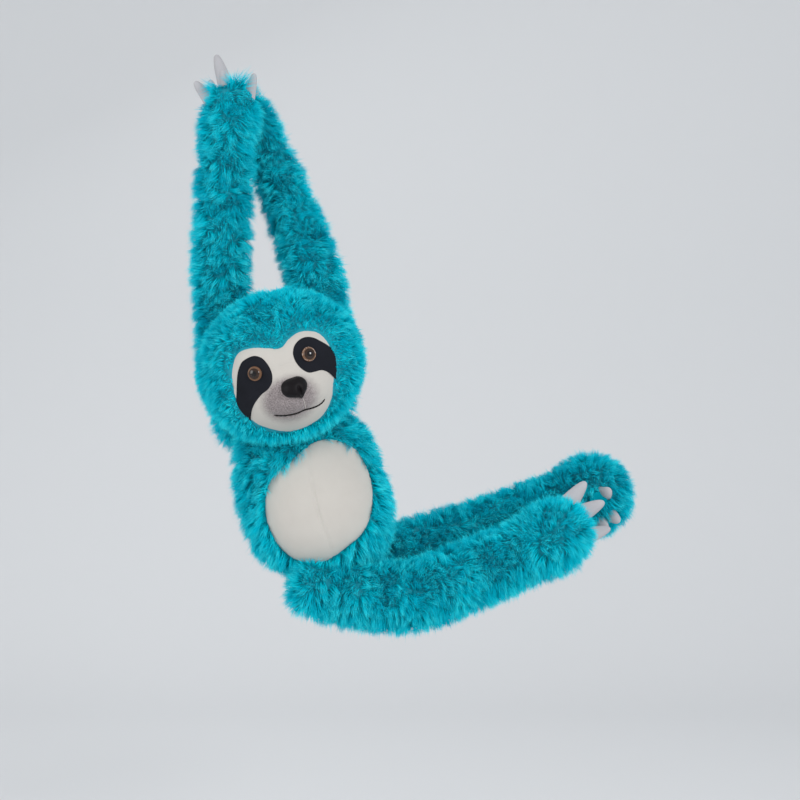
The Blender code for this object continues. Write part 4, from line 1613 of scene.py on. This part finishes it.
        def front(flat: np.ndarray, share: np.ndarray) -> np.ndarray:
            """The nose's face, with its seam."""
            low = smoothstep(0.004, -0.003, flat[:, 1] - middle[1])
            seam = np.exp(-(((flat[:, 0] - middle[0] - 0.0030) / 0.0017) ** 2)) * 0.0036 * low
            puff = 0.0098 * np.sqrt(np.clip(1 - share**2.6, 0.0, 1.0))
            return self.muzzle_point(flat, puff - seam * np.clip(puff / 0.004, 0, 1))

        def rear(flat: np.ndarray, share: np.ndarray) -> np.ndarray:
            """The nose's back, just under the muzzle's cloth."""
            return self.muzzle_point(flat, -0.0010 * (1 - share**4))

        points, faces = dome(ring, middle, 26, front, rear)
        piece = face_out(mesh_object("nose_pad", points, faces, [cloth]))
        settle(piece, "head", ["nose"])

    def stitch(
        self, name: str, knots: Sequence[tuple], radius: float, thread: bpy.types.Material
    ) -> bpy.types.Object:
        """Lays a row of overlapping stitches on the muzzle.

        Args:
            name: Name of the piece.
            knots: The line that it follows in the face plane, in millimetres.
            radius: The thread's radius.
            thread: Its finish.

        Returns:
            The piece.
        """
        line = self.spline(np.array(knots) * self.MM, 7, closed=False)
        places = self.muzzle_point(line, radius * 0.5)
        points, sides, count = [], 8, len(places)
        for i in range(count):
            ahead = Vector(places[min(i + 1, count - 1)] - places[max(i - 1, 0)]).normalized()
            side = ahead.cross(Vector((0.0, -1.0, 0.0))).normalized()
            end = min(i, count - 1 - i) / 4
            wide = radius * min(1.0, 0.45 + 0.55 * end) * (1 + 0.16 * math.cos(i * math.pi / 2))
            for k in range(sides):
                a = math.tau * k / sides
                spoke = side * math.cos(a) + side.cross(ahead) * math.sin(a)
                points.append(Vector(places[i]) + spoke * wide)
        return face_out(mesh_object(name, points, tube(sides, count), [thread]))

    def dress(self) -> None:
        """Makes all of the face."""
        cream = ClothFinish("cream_velour", CREAM, CREAM_SHADE, sheen=0.10).material()
        black = ClothFinish(
            "patch_cloth", (0.011, 0.012, 0.015), (0.018, 0.019, 0.025), sheen=0.01, gloss=0.04
        )
        dark = ClothFinish(
            "nose_velour", (0.005, 0.004, 0.005), (0.010, 0.008, 0.009), 0.50, 0.02, gloss=0.12
        )
        thread = ClothFinish(
            "mouth_thread", (0.006, 0.005, 0.005), (0.012, 0.010, 0.010), 0.6, 0.02
        )
        pale = ClothFinish("seam_thread", (0.560, 0.520, 0.490), (0.500, 0.460, 0.430), 0.8, 0.1)
        self.panel(cream)
        patch = black.material()
        for side in Side:
            self.patch(side, patch)
            self.eye(side, EyeFinish())
        self.muzzle(MuzzleFinish())
        self.nose(dark.material())
        mouth = self.stitch("mouth_thread", self.MOUTH, 0.00100, thread.material())
        settle(mouth, "head", ["mouth_stitch"])
        seam = self.stitch("lip_seam", self.LIP_SEAM, 0.00042, pale.material())
        settle(seam, "head")


NOSE_OUTLINE = (
    (-15.3, 1.5), (-13.2, 6.9), (-7.6, 10.0), (0.0, 10.2), (6.5, 9.6), (11.3, 6.2), (13.3, 1.2),
    (11.8, -3.6), (7.6, -8.0), (3.6, -11.6), (1.8, -12.4), (-0.3, -10.4), (-5.4, -8.6),
    (-11.4, -6.2), (-14.6, -2.8),
)


class Belly:
    """The belly: an upright velour oval, stuffed proud, with a seam down its middle."""

    MIDDLE = (0.0972, -0.4890)
    HALF = (0.0630, 0.0745)
    LEAN = -12.0
    CROWN = 0.0065
    CORNERS = ((121.0, 0.13), (-62.0, 0.09), (57.0, -0.04))

    def __init__(self, torso: "Torso") -> None:
        """Keeps the torso that carries it.

        Args:
            torso: The torso.
        """
        self.torso = torso
        units, faces = sphere_grid(96, 64)
        points = torso.surface(units, 0.0070)
        self.tree = BVHTree.FromPolygons([tuple(p) for p in points], faces)

    def share(self, points: np.ndarray) -> np.ndarray:
        """How far out over the oval places lie.

        Args:
            points: Rows of x, y and z.

        Returns:
            0 at its middle and 1 at its rim.
        """
        angle = math.radians(self.LEAN)
        x, z = points[:, 0] - self.MIDDLE[0], points[:, 2] - self.MIDDLE[1]
        across = x * math.cos(angle) + z * math.sin(angle)
        up = -x * math.sin(angle) + z * math.cos(angle)
        return np.hypot(across / self.HALF[0], up / self.HALF[1])

    def growth(self, points: np.ndarray, edge: float = 0.975) -> np.ndarray:
        """The share of the pile that is left at points of the torso.

        Args:
            points: Points of the torso.
            edge: How far out over the oval the pile begins.

        Returns:
            0 on the belly and 1 away from it.
        """
        share = self.share(points) / self.rim(points[:, (0, 2)])
        return np.where((points[:, 1] < -0.09) & (share < edge), 0.0, 1.0)

    def rim(self, flat: np.ndarray) -> np.ndarray:
        """Where the oval ends, as the pile's edge hides two of its corners.

        Args:
            flat: Rows of x and z.

        Returns:
            Shares of the oval's size.
        """
        turn = np.arctan2(flat[:, 1] - self.MIDDLE[1], flat[:, 0] - self.MIDDLE[0])
        found = np.ones(len(flat))
        for way, depth in self.CORNERS:
            found -= depth * np.clip(np.cos(turn - math.radians(way)), 0.0, 1.0) ** 12
        return found

    def dress(self, cloth: bpy.types.Material) -> None:
        """Makes the panel.

        Args:
            cloth: Its finish.
        """
        lean = math.radians(self.LEAN)
        cos, sin = math.cos(lean), math.sin(lean)
        ring = []
        for i in range(128):
            a = math.tau * i / 128
            across, up = self.HALF[0] * math.cos(a), self.HALF[1] * math.sin(a)
            ring.append((across * cos - up * sin, across * sin + up * cos))
        middle = np.array(self.MIDDLE)
        ring = np.array(ring) * self.rim(np.array(ring) + middle)[:, None]

        def layer(flat: np.ndarray, out: np.ndarray) -> np.ndarray:
            """Points over the torso's front, at a distance from it."""
            found, back = [], Vector((0.0, 1.0, 0.0))
            for (x, z), far in zip(flat, out):
                hit, normal, _, _ = self.tree.ray_cast(Vector((x, -0.6, z)), back)
                way = 1 if normal.y < 0 else -1
                found.append(hit - back * far * 0.7 + normal * far * 0.3 * way)
            return np.array(found)

        def front(flat: np.ndarray, share: np.ndarray) -> np.ndarray:
            """The panel's face, crowned, with its seam."""
            out = 0.001 + self.CROWN * np.sqrt(np.clip(1 - share**3, 0.0, 1.0))
            x, z = flat[:, 0] - middle[0], flat[:, 1] - middle[1]
            bow = 0.006 * (1 - (z / self.HALF[1]) ** 2)
            across = x + z * math.tan(math.radians(14.0)) + bow - 0.004
            seam = np.exp(-((across / 0.0015) ** 2))
            return layer(flat, out - 0.0012 * seam)

        def rear(flat: np.ndarray, _: np.ndarray) -> np.ndarray:
            """The panel's back, inside the torso's pile."""
            return layer(flat, np.full(len(flat), -0.0018))

        points, faces = dome(ring + middle, middle, 44, front, rear)
        piece = face_out(mesh_object("belly_velour", points, faces, [cloth]))
        settle(piece, "torso", ["belly_panel"])


@dataclass(frozen=True)
class ClawSize:
    """How a stuffed claw is cut: its flatness, its sunk root, its seam and its bend."""

    flat: float = 0.66
    root: float = 0.006
    seam: float = 0.0007
    bend: float = 0.0022
    blunt: float = 0.24
    taper: float = 0.54
    full: tuple[float, float, float] = (1.25, 1.25, 1.25)


CLAWS = {
    "hand_right": ClawSize(full=(1.05, 1.20, 1.00)),
    "hand_left": ClawSize(full=(1.10, 1.30, 0.95)),
    "foot_right": ClawSize(full=(1.25, 1.25, 1.25), taper=0.64),
    "foot_left": ClawSize(full=(1.15, 0.85, 1.10)),
}


class Paw:
    """What is sewn to one paw: three stuffed claws and a tape pad."""

    SIDES = 32
    RINGS = 20
    PROFILE = (
        (0.0, 1.0), (0.55, 1.0), (0.86, 0.92), (0.96, 0.66),
        (1.0, 0.2), (1.0, -0.7), (0.97, -1.0), (0.0, -1.0),
    )

    def __init__(self, name: str) -> None:
        """Keeps the paw's name and the cut of its claws.

        Args:
            name: The paw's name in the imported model, which is also its body's.
        """
        self.name = name
        self.size = CLAWS[name]

    @staticmethod
    def node_points(node: str) -> np.ndarray:
        """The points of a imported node.

        Args:
            node: Its name.

        Returns:
            Its points.
        """
        mesh = bpy.data.objects[node].data
        found = np.empty(len(mesh.vertices) * 3)
        mesh.vertices.foreach_get("co", found)
        return found.reshape(-1, 3)

    def claw(self, number: int, felt: bpy.types.Material) -> None:
        """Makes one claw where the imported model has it.

        Args:
            number: Which claw.
            felt: Its finish.
        """
        node = f"{self.name}_claw_{number}"
        spots = self.node_points(node)
        middle = spots.mean(axis=0)
        paw = self.node_points(f"{self.name}_skin").mean(axis=0)
        tip = spots[np.linalg.norm(spots - paw, axis=1).argmax()]
        axis = unit(tip - middle)
        along = (spots - middle) @ axis
        radius = np.linalg.norm(spots - middle - along[:, None] * axis, axis=1)
        low, high = along.min(), along.max()
        base = radius.max() * self.size.full[number - 1]
        start = middle + axis * (low - self.size.root)
        length = high - low + self.size.root
        side = unit(np.cross(axis, np.array((0.0, 1.0, 0.0))))
        flat = np.cross(side, axis)
        bow = flat * self.size.bend * (1 if "right" in self.name else -1)
        points = []
        for ring in range(self.RINGS + 1):
            t = ring / self.RINGS
            place = math.sin(t * math.pi / 2) ** 0.9
            taper = 1 - self.size.taper * place**1.2
            round_end = math.sqrt(max(1 - place ** (2 / self.size.blunt), 0.0))
            width = base * taper * round_end + 1e-5
            spine = start + axis * length * place + bow * math.sin(math.pi * place)
            for i in range(self.SIDES):
                a = math.tau * i / self.SIDES
                turn = min(abs(math.sin(a)), 1.0)
                seam = self.size.seam * math.exp(-((turn / 0.16) ** 2)) * min(width / 0.002, 1.0)
                across = side * math.cos(a) * (width + seam)
                points.append(spine + across + flat * math.sin(a) * width * self.size.flat)
        faces = tube(self.SIDES, self.RINGS + 1)
        piece = face_out(mesh_object(f"{self.name}_talon_{number}", points, faces, [felt]))
        settle(piece, self.name, [node])

    def pad(self, tape: bpy.types.Material) -> None:
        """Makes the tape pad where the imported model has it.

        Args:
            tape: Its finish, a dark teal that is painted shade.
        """
        node = f"{self.name}_pad"
        low, high = (np.array(corner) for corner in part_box(node))
        middle, half = (low + high) / 2, (high - low) / 2
        points, sides = [], 40
        toward = -1.0 if middle[1] > 0 else 1.0
        for share, height in self.PROFILE:
            for i in range(sides):
                a = math.tau * i / sides
                ripple = 1 + 0.010 * math.cos(9 * a)
                r = max(share, 1e-4) * ripple
                points.append(middle + half * (r * math.cos(a), toward * height, r * math.sin(a)))
        faces = tube(sides, len(self.PROFILE))
        piece = face_out(mesh_object(f"{self.name}_tape", points, faces, [tape]))
        settle(piece, self.name, [node])

    def dress(self, felt: bpy.types.Material, tape: bpy.types.Material) -> None:
        """Makes the claws and the pad.

        Args:
            felt: The claws' finish.
            tape: The pad's finish.
        """
        for number in (1, 2, 3):
            self.claw(number, felt)
        self.pad(tape)


# Studio


@dataclass(frozen=True)
class Studio:
    """The camera at the photograph's angle, pale surroundings and soft light."""

    distance: float = 2.36
    aim: tuple = (0.1925, 0.0, -0.36875)
    field: float = 1.0
    pale: tuple = (0.72, 0.73, 0.74)
    sky: tuple = (0.93, 0.96, 1.0)
    sky_strength: float = 0.64
    floor: float = -1.02
    curve_start: float = 1.6
    curve: float = 0.9

    def camera(self) -> None:
        """Sets up the camera."""
        data = bpy.data.cameras.new("camera")
        data.sensor_width = 36.0
        data.lens = 36.0 * self.distance / self.field
        piece = bpy.data.objects.new("camera", data)
        piece.location = (self.aim[0], -self.distance, self.aim[2])
        piece.rotation_euler = (math.pi / 2, 0.0, 0.0)
        bpy.context.scene.collection.objects.link(piece)
        bpy.context.scene.camera = piece

    def lamp(self, name: str, place: tuple, size: float, power: float, colour: tuple) -> None:
        """Adds a soft lamp aimed at the toy.

        Args:
            name: Its name.
            place: Where it hangs.
            size: Its width.
            power: Its power in watts.
            colour: Its colour.
        """
        data = bpy.data.lights.new(name, "AREA")
        data.size = size
        data.energy = power
        data.color = colour
        piece = bpy.data.objects.new(name, data)
        piece.location = place
        toward = Vector(self.aim) - Vector(place)
        piece.rotation_euler = toward.to_track_quat("-Z", "Y").to_euler()
        bpy.context.scene.collection.objects.link(piece)

    def backdrop(self) -> None:
        """Adds the floor and the wall behind, as one curved sheet."""
        profile = [(-2.5, self.floor), (self.curve_start, self.floor)]
        for i in range(1, 9):
            angle = math.radians(90.0 * i / 9)
            y = self.curve_start + self.curve * math.sin(angle)
            profile.append((y, self.floor + self.curve * (1 - math.cos(angle))))
        profile += [(2.5, -0.12), (2.5, 3.0)]
        points = [(x, y, z) for y, z in profile for x in (-4.0, 4.4)]
        faces = [(2 * i, 2 * i + 1, 2 * i + 3, 2 * i + 2) for i in range(len(profile) - 1)]
        graph = Graph("studio_paper", 0.95)
        graph.shader.inputs["Base Color"].default_value = (*self.pale, 1.0)
        piece = mesh_object("studio_sheet", points, faces, [graph.material])

    def light(self) -> None:
        """Adds the lamps and the world's light."""
        world = bpy.data.worlds.new("studio")
        world.use_nodes = True
        sky = world.node_tree.nodes["Background"].inputs
        sky["Color"].default_value = (*self.sky, 1.0)
        sky["Strength"].default_value = self.sky_strength
        bpy.context.scene.world = world
        self.lamp("window", (-2.1, -1.6, 0.10), 1.4, 26.0, (1.0, 0.99, 0.97))
        self.lamp("front", (1.9, -2.2, 0.42), 0.7, 39.0, (1.0, 1.0, 1.0))
        self.lamp("behind", (-0.6, 1.4, 1.3), 1.2, 12.0, (1.0, 1.0, 1.0))
        bpy.context.scene.view_settings.view_transform = "Standard"


def main() -> None:
    """Builds the dressed toy and its studio."""
    logging.basicConfig(level=logging.INFO, format="%(message)s")
    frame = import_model()
    joints = {joint["child"]: joint for joint in frame["joints"]}

    studio = Studio()
    studio.camera()
    studio.backdrop()
    studio.light()

    finish = FurFinish()
    fur, backing = finish.strands(), finish.backing()
    for (kind, side), build in BUILDS.items():
        angle = math.radians(LEANS[kind, side])
        ahead = Vector((math.sin(angle), 0.0, math.cos(angle)))
        Limb(side, build, joints, ahead).dress("torso", backing, fur)

    cream = ClothFinish("belly_cloth", CREAM, CREAM_SHADE, sheen=0.10).material()
    torso = Torso(TorsoSize())
    belly = Belly(torso)
    torso.dress(belly, backing, fur)
    belly.dress(cream)
    head = Head(HeadSize())
    face = Face(head)
    head.dress(face, backing, fur)
    face.dress()

    felt = ClothFinish(
        "claw_felt", (0.500, 0.490, 0.510), (0.420, 0.410, 0.430), 0.85, 0.1, 1500.0, 0.5
    )
    # The tape pads are a dark teal: the pile's colour darkened as painted shade for the shaded pile
    # about the paws.
    tape = ClothFinish(
        "tape_painted_shade", (0.000, 0.330, 0.420), (0.000, 0.200, 0.260), 0.9, 0.0, 900.0, 0.9, 0.0
    )
    felt_cloth, tape_cloth = felt.material(), tape.material()
    for side in Side:
        for paw in ("hand", "foot"):
            Paw(f"{paw}_{side.label}").dress(felt_cloth, tape_cloth)
    nylon = ClothFinish(
        "washer_nylon", (0.80, 0.80, 0.79), (0.74, 0.74, 0.73), 0.45, 0.0, 700.0, 0.1
    )
    washer = nylon.material()
    for side in Side:
        for spot in bpy.data.objects[f"eye_washer_{side.label}"].material_slots:
            spot.material = washer


if __name__ == "__main__":
    main()
